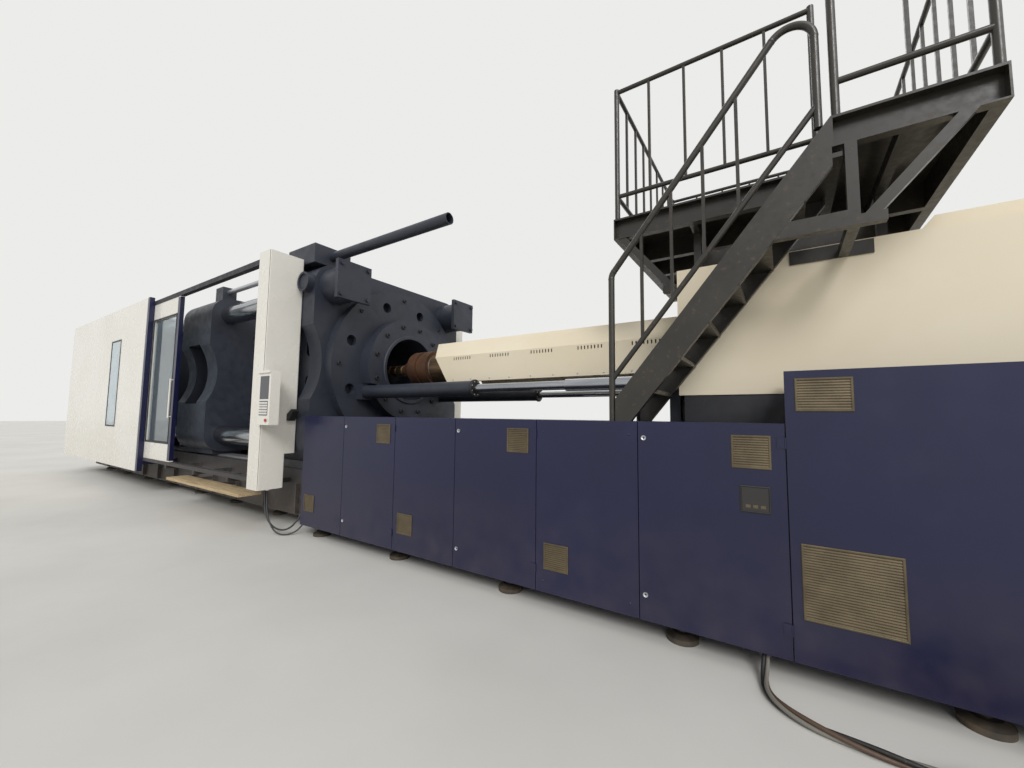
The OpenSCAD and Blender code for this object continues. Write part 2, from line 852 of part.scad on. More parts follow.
module gate_rear() {
    color("ivory") difference() {
        box([gate_x - gate_l, gate_side_y, gate_z], [gate_x, gate_y, gate_top_z]);
        box([gate_x - gate_l + cover_wall, gate_side_y - eps, gate_z + cover_wall],
            [gate_x - cover_wall, gate_y - cover_wall, gate_top_z - cover_wall]);
    }
}

cover_inner_y = column_y - cover_d;
post_w = 80;
post_first_x = -rest_x + 60;
post_last_x = gate_x - gate_l - 250;
post_xs = [post_first_x, (post_first_x + post_last_x) / 2, post_last_x];
pillar_w = 100;

module cover_posts() {
    color("midnightblue") {
        for (side = [-1, 1], x0 = post_xs) union() {
            side_box([x0, cover_inner_y - post_w, cover_z],
                [x0 + post_w, cover_inner_y, cover_top_z], side);
            side_box([x0, bed_half_w, cover_z],
                [x0 + post_w, cover_inner_y - post_w + eps, cover_z + post_w], side);
        }
        for (side = [-1, 1]) union() {
            side_box([cover_x + gap, cover_inner_y, cover_z],
                [cover_x + pillar_w, column_y, cover_top_z], side);
            side_box([cover_x + gap, bed_half_w, track_low_z - post_w],
                [cover_x + pillar_w, cover_inner_y + eps, track_low_z], side);
        }
    }
}

window_w = 620;
window_x = cover_x - 2150;
window_z0 = 1300;
window_z1 = 3150;

// A long folded cover with a tall narrow window.
module clamp_cover(side) {
    low_y = side > 0 ? column_y - cover_d : -column_y;
    skin_y = side > 0 ? low_y - eps : low_y + cover_wall;
    difference() {
        box([-rest_x, low_y, cover_z], [cover_x, low_y + cover_d, cover_top_z]);
        box([-rest_x + cover_wall, skin_y, cover_z + cover_wall],
            [cover_x - cover_wall, skin_y + cover_d - cover_wall + eps, cover_top_z - cover_wall]);
        box([window_x, low_y - eps, window_z0], [window_x + window_w, low_y + cover_d + eps, window_z1]);
    }
}

module clamp_cover_front() {
    color("ivory") clamp_cover(-1);
}

module clamp_cover_rear() {
    color("ivory") clamp_cover(1);
}

module cover_windows() {
    color("lightblue") {
        for (side = [-1, 1]) {
            low_y = side > 0 ? column_y - cover_wall : -column_y;
            box([window_x + gap, low_y, window_z0 + gap],
                [window_x + window_w - gap, low_y + cover_wall, window_z1 - gap]);
        }
    }
}

module step_board() {
    color("burlywood")
        box([column_x - column_w - 150 - step_l, -column_y - 20, step_z - 40],
            [column_x - column_w - 150, -column_y + 280, step_z]);
}

// Slats across a vent hole that is w wide and h high, facing -Y.
module vent_slats(x, y, z, w, h) {
    for (rise = [vent_pitch / 2:vent_pitch:h - vent_pitch / 2])
        translate([x, y, z + rise]) rotate([-35, 0, 0]) translate([-eps, 0, -2])
            cube([w + 2 * eps, 18, 4]);
}

notch_x1 = tie_front_x + retainer_t + 80;
notch_y = tie_y + retainer_w / 2 + 20;
notch_z = axis_z - tie_z - retainer_w / 2 - 30;
loop_gland_places = [[-1500, 310], [-1450, 240]];
main_gland = [6450, -1500, 150];
main_gland_l = 50.9;
main_gland_r = 32;

module low_cabinet() {
    back_y = -injection_bed_half_w;
    front_y = -cabinet_y + door_t + gap;
    color("midnightblue") union() {
        difference() {
            box([low_cabinet_x, front_y, skirt_z], [cabinet_split_x, back_y, low_cabinet_top]);
            for (bay = [0:bay_count - 1]) {
                x0 = low_cabinet_x + bay * bay_w;
                cell_back = bay == 0 ? -notch_y - case_wall : back_y - case_wall;
                box([x0 + case_wall, front_y - eps, skirt_z + case_wall],
                    [x0 + panel_w - case_wall, cell_back, low_cabinet_top - case_wall]);
                box([x0 + panel_w + case_wall, front_y - eps, skirt_z + case_wall],
                    [x0 + bay_w - case_wall, back_y - case_wall, low_cabinet_top - case_wall]);
            }
            box([low_cabinet_x - eps, -notch_y, notch_z],
                [notch_x1, back_y + eps, low_cabinet_top + eps]);
        }
        for (place = loop_gland_places)
            bar_x(low_cabinet_x - gland_l, low_cabinet_x + case_wall / 2, place[0], place[1], 20);
        translate(main_gland) rotate([135, 0, 0]) translate([0, 0, -12])
            cylinder(h = main_gland_l + 12, r = main_gland_r);
    }
}

hinge_out = 6;
hinge_r = 5.5;
hinge_l = 68;

// A folded panel or door leaf with a vent at the given height.
module leaf(x0, width, vent_x, vent_z) {
    x_low = x0 + door_gap / 2;
    x_high = x0 + width - door_gap / 2;
    difference() {
        box([x_low, -cabinet_y, skirt_z], [x_high, -cabinet_y + door_t, low_cabinet_top]);
        box([x_low + 40, -cabinet_y + 4, skirt_z + 40],
            [x_high - 40, -cabinet_y + door_t + eps, low_cabinet_top - 40]);
        box([vent_x, -cabinet_y - eps, vent_z], [vent_x + vent_w, -cabinet_y + 5, vent_z + vent_h]);
    }
    vent_slats(vent_x, -cabinet_y + 1, vent_z, vent_w, vent_h);
}

module cabinet_panels() {
    color("midnightblue") {
        for (bay = [0:bay_count - 1])
            leaf(low_cabinet_x + bay * bay_w, panel_w, low_cabinet_x + bay * bay_w + 90,
                skirt_z + 200);
    }
}

module cabinet_door(bay) {
    x0 = low_cabinet_x + bay * bay_w + panel_w;
    color("midnightblue") union() {
        leaf(x0, door_w, x0 + door_w - vent_w - 90, low_cabinet_top - 90 - vent_h);
        for (z = [skirt_z + 180, low_cabinet_top - 120])
            translate([x0 + door_w, -cabinet_y, z - hinge_l / 2]) {
            translate([0, -hinge_out, 0]) cylinder(h = hinge_l, r = hinge_r);
            translate([-45, -3, 0]) cube([42, 3 + eps, hinge_l]);
            translate([-45, -hinge_out - 1.5, 0]) cube([45, 3, hinge_l]);
            translate([-45, -hinge_out - 1.5, 0]) cube([15, hinge_out + 1.5 + eps, hinge_l]);
        }
    }
}

module cabinet_door_1() {
    cabinet_door(2);
}

module cabinet_door_2() {
    cabinet_door(1);
}

module cabinet_door_3() {
    cabinet_door(0);
}

tall_vent_x = cabinet_split_x + 70;
tall_louvre_w = 440;
tall_louvre_h = 420;

module tall_cabinet() {
    back_y = -injection_bed_half_w;
    x0 = cabinet_split_x + 4;
    color("midnightblue") union() {
        difference() {
            box([x0, -cabinet_y, skirt_z], [rest_x, back_y, tall_cabinet_top]);
            box([x0 + case_wall, -cabinet_y + case_wall, skirt_z + case_wall],
                [rest_x - case_wall, back_y - case_wall, tall_cabinet_top - case_wall]);
            box([tall_vent_x, -cabinet_y - eps, tall_cabinet_top - 240],
                [tall_vent_x + 260, -cabinet_y + case_wall + eps, tall_cabinet_top - 60]);
            box([tall_vent_x, -cabinet_y - eps, 420],
                [tall_vent_x + tall_louvre_w, -cabinet_y + case_wall + eps, 420 + tall_louvre_h]);
        }
        vent_slats(tall_vent_x, -cabinet_y + 2, tall_cabinet_top - 240, 260, 180);
        vent_slats(tall_vent_x, -cabinet_y + 2, 420, tall_louvre_w, tall_louvre_h);
    }
}

tank_z = 1100;
pump_r = 180;
pump_l = 900;
pump_pitch = 1800;

module oil_tank() {
    y0 = injection_bed_half_w;
    x0 = fixed_t + 1050;
    color("midnightblue") union() {
        box([x0, y0, skirt_z], [rest_x - 400, cabinet_y, tank_z]);
        for (x = [x0 + 800:pump_pitch:x0 + 800 + 2 * pump_pitch]) {
            bar_x(x, x + pump_l, y0 + pump_r + 70, tank_z + pump_r + 30, pump_r);
            box([x + 100, y0 + 100, tank_z - eps], [x + pump_l - 100, y0 + 400, tank_z + 120]);
        }
    }
}

module shift_cylinders() {
    color("dimgray") {
        for (side = [-1, 1]) difference() {
            union() {
                bar_x(fixed_face_x + 100, fixed_face_x + 2160, side * shift_y, shift_z, shift_r);
                translate([fixed_face_x, side * shift_y - 90, shift_z - 110])
                    cube([130, 180, 220]);
            }
            bar_x(fixed_face_x + 200, fixed_face_x + 2160 - 80, side * shift_y, shift_z,
                shift_r - 18);
            bar_x(fixed_face_x + 2160 - 80 - eps, fixed_face_x + 2160 + eps, side * shift_y,
                shift_z, shift_rod_r + gap);
        }
    }
}

rod_lug_x = 5750;

module shift_rods() {
    color("silver") {
        for (side = [-1, 1]) union() {
            bar_x(fixed_face_x + 1300, rod_lug_x, side * shift_y, shift_z, shift_rod_r);
            bar_x(fixed_face_x + 1300, fixed_face_x + 1380, side * shift_y, shift_z,
                shift_r - 18 - gap);
            bar_x(4700, rod_lug_x, side * shift_y, shift_z, shift_rod_r + 14);
        }
    }
}

saddle_x0 = 5750;
saddle_x1 = drive_plate_x + 700;

module carriage() {
    top = carriage_way_top + gap;
    color("dimgray") union() {
        for (side = [-1, 1]) {
            low_y = side * carriage_way_y - 130;
            box([saddle_x0, low_y, top], [saddle_x1, low_y + 260, top + 220]);
            box([saddle_x0, side > 0 ? shift_y - 120 : -shift_y - 70, top],
                [saddle_x0 + 90, side > 0 ? shift_y + 70 : -shift_y + 120, shift_z + 110]);
        }
        for (x0 = [saddle_x0, saddle_x0 + 450, housing_x, saddle_x1 - 150])
            box([x0, -carriage_way_y, top + 20], [x0 + 150, carriage_way_y, top + 200]);
    }
}

hopper_square = 300;
hopper_hole_r = 9;
hopper_hole_depth = 60;

module bearing_housing() {
    low_z = carriage_way_top + gap + 220;
    color("dimgray") difference() {
        box([housing_x, -housing_half_w, low_z], [housing_back_x, housing_half_w, axis_z + 420]);
        bar_x(housing_x - eps, housing_back_x + eps, 0, axis_z, barrel_r + gap);
        translate([housing_x + housing_l / 2, 0, axis_z])
            cylinder(h = 420 + eps, r = feed_r);
        for (side = [-1, 1]) {
            bar_x(housing_x - eps, housing_back_x + eps, side * cylinder_y, axis_z,
                stroke_cylinder_r + gap);
            for (x = [-1, 1])
                translate([housing_x + housing_l / 2 + x * hopper_square / 2,
                        side * hopper_square / 2, axis_z + 420 - hopper_hole_depth])
                    cylinder(h = hopper_hole_depth + eps, r = hopper_hole_r);
        }
    }
}

cylinder_bore = 100;
cylinder_front = 720;
cylinder_cap = 60;
piston_l = 80;
piston_rod_r = 60;

module injection_cylinders() {
    x0 = housing_x - cylinder_front;
    color("slategray") {
        for (side = [-1, 1]) difference() {
            bar_x(x0, housing_back_x, side * cylinder_y, axis_z, stroke_cylinder_r);
            bar_x(x0 + cylinder_cap, housing_back_x - cylinder_cap, side * cylinder_y, axis_z,
                cylinder_bore);
            bar_x(housing_back_x - cylinder_cap - eps, housing_back_x + eps, side * cylinder_y,
                axis_z, piston_rod_r + gap);
        }
    }
}

module barrel() {
    color("gray") difference() {
        bar_x(head_x + 400, housing_back_x - 40, 0, axis_z, barrel_r);
        bar_x(head_x + 400 - eps, housing_back_x, 0, axis_z, barrel_bore_r);
        translate([housing_x + housing_l / 2, 0, axis_z]) cylinder(h = barrel_r + eps, r = feed_r - 20);
    }
}

band_count = 9;
band_pitch = 440;
band_l = 340;

module heater_bands() {
    color("sienna") {
        for (index = [0:band_count - 1])
            difference() {
                bar_x(head_x + 440 + index * band_pitch, head_x + 440 + index * band_pitch + band_l,
                    0, axis_z, barrel_r + 24, barrel_r + gap);
            }
    }
}

nozzle_bore_r = 12;

module nozzle() {
    color("peru") translate([0, 0, axis_z]) rotate([0, 90, 0]) rotate_extrude()
        polygon([
            [nozzle_bore_r, nozzle_x], [25, nozzle_x], [50, nozzle_x + 30], [nozzle_r, nozzle_x + 80],
            [nozzle_r, head_x - 260], [nozzle_r + 50, head_x - 220], [nozzle_r + 90, head_x],
            [head_r, head_x], [head_r, head_x + 170], [head_r - 25, head_x + 170],
            [head_r - 25, head_x + 230], [head_r, head_x + 230], [head_r, head_x + 400 - gap],
            [nozzle_bore_r, head_x + 400 - gap]
        ]);
}

module guard_outline(inset) {
    polygon([
        [-guard_half_w + inset, guard_z - axis_z - (inset > 0 ? eps : 0)],
        [-guard_half_w + inset, guard_fold_z - axis_z - inset * 0.4],
        [-guard_top_half_w + inset * 0.4, guard_top_z - axis_z - inset],
        [guard_top_half_w - inset * 0.4, guard_top_z - axis_z - inset],
        [guard_half_w - inset, guard_fold_z - axis_z - inset * 0.4],
        [guard_half_w - inset, guard_z - axis_z - (inset > 0 ? eps : 0)]
    ]);
}

guard_end_x = housing_x;
guard_slant = 400;
slot_w = 14;
slot_l = 90;

module barrel_guard() {
    color("wheat") difference() {
        along_x(guard_x, guard_end_x - guard_x) guard_outline(0);
        along_x(guard_x - eps, guard_end_x - guard_x + 2 * eps) guard_outline(guard_wall);
        translate([guard_x, guard_half_w + 10, guard_z - 20]) rotate([90, 0, 0])
            linear_extrude(2 * guard_half_w + 20)
                polygon([[-eps, -eps], [guard_slant, -eps], [-eps, guard_top_z - guard_z + 20]]);
        for (cluster = [0:4], index = [0:7])
            box([guard_x + 500 + cluster * 620 + index * 40, -guard_half_w - eps, guard_fold_z - 60],
                [guard_x + 500 + cluster * 620 + index * 40 + slot_w, guard_half_w + eps,
                    guard_fold_z - 60 + 40]);
    }
}

module drive_plate() {
    low_z = carriage_way_top + gap + 220;
    piston_x = housing_back_x - cylinder_cap - piston_l - 10;
    color("dimgray") difference() {
        union() {
            box([drive_plate_x, -640, axis_z - 300], [drive_plate_x + 300, 640, axis_z + 300]);
            for (side = [-1, 1])
                box([drive_plate_x, side * carriage_way_y - 100, low_z + gap],
                    [drive_plate_x + 300, side * carriage_way_y + 100, axis_z - 200]);
            for (side = [-1, 1]) {
                bar_x(piston_x, drive_plate_x + eps, side * cylinder_y, axis_z, piston_rod_r);
                bar_x(piston_x, piston_x + piston_l, side * cylinder_y, axis_z,
                    cylinder_bore - gap);
            }
        }
        bar_x(drive_plate_x - eps, drive_plate_x + 300 + eps, 0, axis_z, 120);
    }
}

module screw_motor() {
    color("slategray") difference() {
        union() {
            bar_x(drive_plate_x + 300, drive_plate_x + 820, 0, axis_z, 220);
            bar_x(drive_plate_x + 300, drive_plate_x + 340, 0, axis_z, 280);
        }
        bar_x(drive_plate_x + 300 - eps, drive_plate_x + 500, 0, axis_z, 120);
    }
}

module screw() {
    tip_x = head_x + 400 + injection_stroke + 180;
    color("silver") union() {
        bar_x(tip_x, drive_plate_x + 480, 0, axis_z, screw_r);
        translate([tip_x - 160, 0, axis_z]) rotate([0, 90, 0])
            cylinder(h = 160, r1 = 20, r2 = screw_r);
        bar_x(tip_x + 100, tip_x + 180, 0, axis_z, barrel_bore_r - gap);
        bar_x(drive_plate_x + 40, drive_plate_x + 260, 0, axis_z, 120 - gap);
    }
}

roof_x = 7400;
roof_h = 110;
slot_x0 = 5960;
slot_x1 = 7300;
slot_half_w = 230;

module drive_cover() {
    half = drive_cover_half_w;
    wall = cover_wall;
    x0 = drive_cover_x;
    x1 = rest_x - 50;
    top = drive_cover_top_z;
    color("ivory") {
        for (side = [-1, 1]) {
            side_box([x0, half - wall, drive_cover_z], [x1, half, top], side);
            side_box([x0, half - 60, drive_cover_z], [x0 + wall, half - wall, top - wall], side);
            side_box([slot_x0, slot_half_w, top - wall], [slot_x1, half - wall, top], side);
        }
        box([x0, -half + 60, top - 60], [x0 + wall, half - 60, top - wall]);
        box([x1 - wall, -half + wall, drive_cover_z], [x1, half - wall, top - wall]);
        box([x0, -half + wall, top - wall], [slot_x0, half - wall, top]);
        box([slot_x1, -half + wall, top - wall], [x1, half - wall, top]);
        along_y(-half + 90, 2 * half - 180)
            polygon([[roof_x, top], [roof_x + 90, top + roof_h], [x1, top + roof_h], [x1, top]]);
    }
}

plate_t = 6;
beam_top_z = deck_z - plate_t;

// A platform beam along X, a channel that is open towards -Y or +Y.
module channel_x(x0, x1, low_y, side) {
    wall = deck_beam_wall;
    recess_y = side < 0 ? low_y - eps : low_y + wall;
    difference() {
        box([x0, low_y, deck_low_z], [x1, low_y + deck_beam_w, beam_top_z]);
        box([x0 + wall, recess_y, deck_low_z + wall],
            [x1 - wall, recess_y + deck_beam_w - wall + eps, beam_top_z - wall]);
    }
}

// A platform beam along Y, a channel that is open towards -X or +X.
module channel_y(y0, y1, low_x, side) {
    wall = deck_beam_wall;
    recess_x = side < 0 ? low_x - eps : low_x + wall;
    difference() {
        box([low_x, y0, deck_low_z], [low_x + deck_beam_w, y1, beam_top_z]);
        box([recess_x, y0 + wall, deck_low_z + wall],
            [recess_x + deck_beam_w - wall + eps, y1 - wall, beam_top_z - wall]);
    }
}

// The side view of a slanting strut from one point to another, cut level at both ends.
module strut_outline(from, to) {
    along = to - from;
    half = strut_w * norm(along) / abs(along[1]) / 2;
    polygon([from - [half, 0], from + [half, 0], to + [half, 0], to - [half, 0]]);
}

// A slanting strut in the XZ plane, on the +Y side of low_y.
module strut_x(low_y, from, to) {
    along_y(low_y, strut_w) strut_outline(from, to);
}

// A slanting strut in the YZ plane, on the +X side of low_x.
module strut_y(low_x, from, to) {
    translate([low_x, 0, 0]) rotate([90, 0, 90]) linear_extrude(strut_w) strut_outline(from, to);
}

// Where the lower edge of a stringer reaches the given height.
function stringer_x(z) = stair_x + (z + stringer_drop - low_cabinet_top - stringer_toe_h) / stair_slope;

leg_xs = [drive_cover_x + 100, slot_x1 - 80];
leg_y = 680;
outrigger_z = 2760;
outrigger_h = 100;
outrigger_x = landing_x + 60;
brace_z = 2760;

module platform() {
    beam = deck_beam_w;
    front = -deck_front;
    landing = -landing_front;
    right = deck_x1 - beam;
    low = deck_low_z;
    foot = strut_w * 2;
    color("darkslategray") {
        for (xs = [[deck_x0, slot_x0], [slot_x1, deck_x1]])
            box([xs[0], front, beam_top_z], [xs[1], deck_rear, deck_z]);
        for (ys = [[front, -slot_half_w], [slot_half_w, deck_rear]])
            box([slot_x0, ys[0], beam_top_z], [slot_x1, ys[1], deck_z]);
        box([landing_x, landing, beam_top_z], [deck_x1, front, deck_z]);
        channel_x(deck_x0, landing_x, front, -1);
        channel_x(deck_x0, deck_x1, deck_rear - beam, 1);
        channel_x(landing_x, deck_x1, landing, -1);
        channel_y(front + beam, deck_rear - beam, deck_x0, -1);
        channel_y(landing + beam, deck_rear - beam, right, 1);
        channel_y(landing + beam, -slot_half_w - beam, landing_x, -1);
        for (y = [-slot_half_w - beam, slot_half_w])
            box([deck_x0 + beam, y, low], [right, y + beam, beam_top_z]);
        for (x = leg_xs) {
            box([x, slot_half_w + beam, low], [x + strut_w, deck_rear - beam, low + 80]);
            box([x, (x < landing_x ? front : landing) + beam, low],
                [x + strut_w, -slot_half_w - beam, low + 80]);
            for (side = [-1, 1])
                side_box([x, leg_y, drive_cover_top_z], [x + strut_w, leg_y + strut_w, low], side);
            strut_y(x, [drive_cover_half_w + 60, brace_z], [deck_rear - beam - 60, low]);
            box([x, drive_cover_half_w, brace_z - 60], [x + strut_w, drive_cover_half_w + foot, brace_z]);
        }
        strut_x(front + 5, [drive_cover_x - 60, brace_z], [deck_x0 + 80, low]);
        box([drive_cover_x - foot, front + 5, brace_z - 60], [drive_cover_x, front + 5 + strut_w, brace_z]);
        box([outrigger_x, landing, outrigger_z], [outrigger_x + strut_w, landing + strut_w, low]);
        along_y(landing, strut_w)
            polygon([[stringer_x(outrigger_z) + eps, outrigger_z], [outrigger_x, outrigger_z],
                [outrigger_x, outrigger_z + outrigger_h],
                [stringer_x(outrigger_z + outrigger_h) + eps, outrigger_z + outrigger_h]]);
        box([outrigger_x, landing + strut_w, outrigger_z],
            [outrigger_x + strut_w, -drive_cover_half_w - 12, outrigger_z + strut_w]);
        box([stringer_x(outrigger_z + outrigger_h) + 10, -drive_cover_half_w - 12, outrigger_z],
            [outrigger_x + 200, -drive_cover_half_w, outrigger_z + outrigger_h]);
        box([outrigger_x + strut_w, landing, outrigger_z],
            [outrigger_x + strut_w + foot, landing + strut_w, outrigger_z + strut_w]);
        strut_x(landing, [outrigger_x + strut_w * 2, outrigger_z + strut_w], [right - 90, low]);
    }
}

// One straight guard frame between two points on the floor, with its balusters.
module rail_run(from, to) {
    along = to - from;
    bays = round(norm(along) / baluster_pitch);
    for (height = [low_rail_h, rail_h])
        rod(from + [0, 0, height], to + [0, 0, height], rail_d * 0.42);
    for (index = [1:bays - 1])
        translate(from + along * index / bays + [-baluster_w / 2, -baluster_w / 2, low_rail_h])
            cube([baluster_w, baluster_w, rail_h - low_rail_h]);
}

rail_inset = 30;

module platform_rails() {
    left = deck_x0 + rail_inset;
    right = deck_x1 - rail_inset;
    back = deck_rear - rail_inset;
    corners = [
        [landing_x - rail_inset, -deck_front + rail_inset, deck_z],
        [left, -deck_front + rail_inset, deck_z],
        [left, back, deck_z],
        [right, back, deck_z],
        [right, -landing_front + rail_inset, deck_z],
        [landing_x + rail_inset, -landing_front + rail_inset, deck_z]
    ];
    color("darkslategray") union() {
        for (index = [0:4]) rail_run(corners[index], corners[index + 1]);
        for (corner = corners) translate(corner) cylinder(h = rail_h + rail_d / 2, d = rail_d);
    }
}

// A stair stringer: a plate with flanges, from the given level up to the landing.
module stringer(foot_z) {
    toe_x = stringer_x(low_cabinet_top);
    top = low_cabinet_top + stringer_toe_h;
    wall = deck_beam_wall;
    rib = wall / cos(atan(stair_slope));
    difference() {
        along_y(0, stringer_w)
            polygon([[stair_x, foot_z], [toe_x, foot_z], [toe_x, low_cabinet_top],
                [landing_x, deck_z - stringer_drop], [landing_x, deck_z], [stair_x, top]]);
        along_y(wall, stringer_w)
            polygon([[stair_x + wall, foot_z + wall], [toe_x - wall, foot_z + wall],
                [toe_x - wall, low_cabinet_top + rib - wall * stair_slope],
                [landing_x - wall, deck_z - stringer_drop + rib - wall * stair_slope],
                [landing_x - wall, deck_z - rib - wall * stair_slope],
                [stair_x + wall, top - rib + wall * stair_slope]]);
    }
}

module stairs() {
    rise = (deck_z - low_cabinet_top) / (tread_count + 1);
    color("darkslategray") union() {
        translate([0, -landing_front, 0]) stringer(low_cabinet_top);
        translate([0, -deck_front, 0]) mirror([0, 1, 0]) stringer(injection_bed_top);
        for (index = [1:tread_count]) {
            z = low_cabinet_top + rise * index;
            box([stringer_x(z) - tread_d - 15, -landing_front + deck_beam_wall - eps, z - tread_t],
                [stringer_x(z) - 15, -deck_front - deck_beam_wall + eps, z]);
        }
    }
}

stair_post_x = stair_x - 30;
stair_rail_h = 1020;
stair_low_rail_h = 190;
low_bend_r = 90;
top_bend_r = 130;
slope_angle = atan(stair_slope);

// A bent tube in the XZ plane, round the given centre, from one angle to another.
module bend(centre, bend_r, from_angle, to_angle, r) {
    translate(centre) rotate([90, 0, 0]) rotate([0, 0, from_angle])
        rotate_extrude(angle = to_angle - from_angle) translate([bend_r, 0]) circle(r);
}

module stair_rail() {
    y = -landing_front + rail_d / 2;
    r = rail_d / 2;
    toe_z = low_cabinet_top + stringer_toe_h;
    end_x = landing_x - 60;
    edge_z = toe_z + stair_slope * (end_x + r - stair_x) + eps;
    side = [-sin(slope_angle), 0, cos(slope_angle)];
    low_centre = [stair_post_x + low_bend_r, y, toe_z + stair_rail_h - 60];
    low_end = low_centre + low_bend_r * side;
    top_x = end_x - top_bend_r - top_bend_r * sin(slope_angle);
    top_end = [top_x, y, low_end[2] + stair_slope * (top_x - low_end[0])];
    top_centre = top_end - top_bend_r * side;
    low_rail_z = toe_z + stair_low_rail_h;
    color("darkslategray") union() {
        translate([stair_post_x, y, low_cabinet_top]) cylinder(h = low_centre[2] - low_cabinet_top, r = r);
        bend(low_centre, low_bend_r, 90 + slope_angle, 180, r);
        rod(low_end, top_end, r);
        bend(top_centre, top_bend_r, 0, 90 + slope_angle, r);
        for (joint = [[stair_post_x, y, low_centre[2]], low_end, top_end, [end_x, y, top_centre[2]]])
            translate(joint) sphere(r + 1.5);
        translate([end_x, y, edge_z]) cylinder(h = top_centre[2] - edge_z, r = r);
        rod([stair_post_x, y, low_rail_z + stair_slope * (stair_post_x - stair_x)],
            [end_x, y, low_rail_z + stair_slope * (end_x - stair_x)], rail_d * 0.42);
        for (share = [0.2:0.2:0.8]) {
            x = low_end[0] + (top_end[0] - low_end[0]) * share;
            z = low_rail_z + stair_slope * (x - stair_x);
            translate([x - baluster_w / 2, y - baluster_w / 2, z])
                cube([baluster_w, baluster_w, low_end[2] + stair_slope * (x - low_end[0]) - z]);
        }
    }
}

// Unit vector along v.
function unit(v) = v / norm(v);

// Direction of a route at one of its points.
function heading(route, i) = unit(route[min(i + 1, len(route) - 1)] - route[max(i - 1, 0)]);

// One ring of points round a route. No stretch of the route runs along the vector side.
function ring(route, i, r, side, sides) =
    let (along = heading(route, i), out = unit(cross(side, along)), up = cross(along, out))
    [for (k = [0:sides - 1]) route[i] + r * (cos(360 * k / sides) * out + sin(360 * k / sides) * up)];

// A round hose or cable of constant size along a route.
module hose(route, r, side, sides = 8) {
    count = len(route);
    points = [for (i = [0:count - 1]) each ring(route, i, r, side, sides)];
    quads = [for (i = [0:count - 2], k = [0:sides - 1])
        [i * sides + k, (i + 1) * sides + k, (i + 1) * sides + (k + 1) % sides, i * sides + (k + 1) % sides]];
    faces = concat(
        [[for (k = [0:sides - 1]) k]],
        [for (quad = quads) each [[quad[0], quad[1], quad[2]], [quad[0], quad[2], quad[3]]]],
        [[for (k = [sides - 1:-1:0]) (count - 1) * sides + k]]
    );
    polyhedron(points, faces);
}

loop_1_route = [
    [700, -1800, 566], [700, -1800, 490], [703, -1799, 410], [712, -1796, 330], [732, -1790, 254],
    [766, -1779, 184], [814, -1762, 124], [872, -1736, 80], [936, -1702, 56], [1000, -1660, 58],
    [1050, -1614, 92], [1082, -1572, 150], [1104, -1536, 212], [1126, -1512, 266],
    [1152, -1502, 300], [1180, -1500, 310], [1206, -1500, 310]
];
loop_2_route = [
    [760, -1800, 566], [760, -1800, 490], [763, -1800, 410], [772, -1799, 330], [792, -1797, 252],
    [824, -1792, 180], [868, -1784, 116], [922, -1772, 64], [984, -1752, 28], [1046, -1718, 14],
    [1094, -1668, 16], [1124, -1612, 32], [1138, -1558, 66], [1146, -1510, 116],
    [1154, -1474, 172], [1168, -1456, 218], [1186, -1450, 240], [1206, -1450, 240]
];
main_route = [
    [6450, -1536, 114], [6450, -1569, 81], [6450, -1609, 54], [6451, -1653, 36],
    [6454, -1700, 27], [6462, -1750, 26], [6478, -1798, 26], [6503, -1842, 26],
    [6538, -1880, 26], [6580, -1912, 26], [6630, -1938, 26], [6688, -1960, 26],
    [6752, -1976, 26], [6822, -1988, 26], [6900, -1995, 26], [6990, -1999, 26],
    [7090, -2000, 26], [7192, -2000, 26]
];
coil_place = [7400, -2275, 0];
coil_mid_r = 275;
coil_turns_wide = 2;
coil_turns_high = 2;
plug_x = 7720;
plug_l = 180;
plug_r = 55;
relief_l = 36;
plug_y = coil_place[1] + coil_mid_r + main_cable_d / 2;

module column_loop_1() {
    color("gray") hose(loop_1_route, loop_1_d / 2, [0, 1, 0]);
}

module column_loop_2() {
    color("gray") hose(loop_2_route, loop_2_d / 2, [0, 1, 0]);
}

module main_cable() {
    color("black") hose(main_route, main_cable_d / 2, [0, 0, 1], 10);
}

module main_coil() {
    half_w = main_cable_d * coil_turns_wide / 2;
    color("black") union() {
        translate(coil_place) rotate_extrude()
            translate([coil_mid_r - half_w, 0]) square([2 * half_w, main_cable_d * coil_turns_high]);
        bar_x(coil_place[0] + coil_mid_r / 2, plug_x - relief_l, plug_y, plug_r, main_cable_d / 2);
    }
}

module cable_plug() {
    color("black") union() {
        translate([plug_x - relief_l, plug_y, plug_r]) rotate([0, 90, 0])
            cylinder(h = relief_l + eps, r1 = main_cable_d / 2 + 2, r2 = plug_r * 0.8);
        bar_x(plug_x, plug_x + plug_l, plug_y, plug_r, plug_r);
    }
}

clamp_bed();
slide_ways();
injection_bed();
levelling_mounts();
fixed_platen();
tie_bars();
tie_bar_nuts();
retaining_plates();
rear_platen();
clamp_cylinder();
platen_cap();
safety_guide();
operator_column();
rear_column();
panel_box();
panel_screen();
plug_hood();
gate_tracks();
cover_posts();
clamp_cover_front();
clamp_cover_rear();
cover_windows();
step_board();
low_cabinet();
cabinet_panels();
tall_cabinet();
shift_cylinders();
drive_cover();
platform();
platform_rails();
stairs();
stair_rail();
oil_tank();
carriage();
bearing_housing();
barrel();
heater_bands();
nozzle();
barrel_guard();
shift_rods();
injection_cylinders();
drive_plate();
screw_motor();
screw();
moving_platen();
clamp_ram();
safety_rod();
ejector();
gate_front();
gate_window();
gate_rear();
cabinet_door_1();
cabinet_door_2();
cabinet_door_3();
emergency_stop();
column_loop_1();
column_loop_2();
main_cable();
main_coil();
cable_plug();
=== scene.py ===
"""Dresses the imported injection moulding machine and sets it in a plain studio."""
import json
import logging
import math
from dataclasses import dataclass
from enum import Enum

import bpy
import numpy as np
from mathutils import Matrix


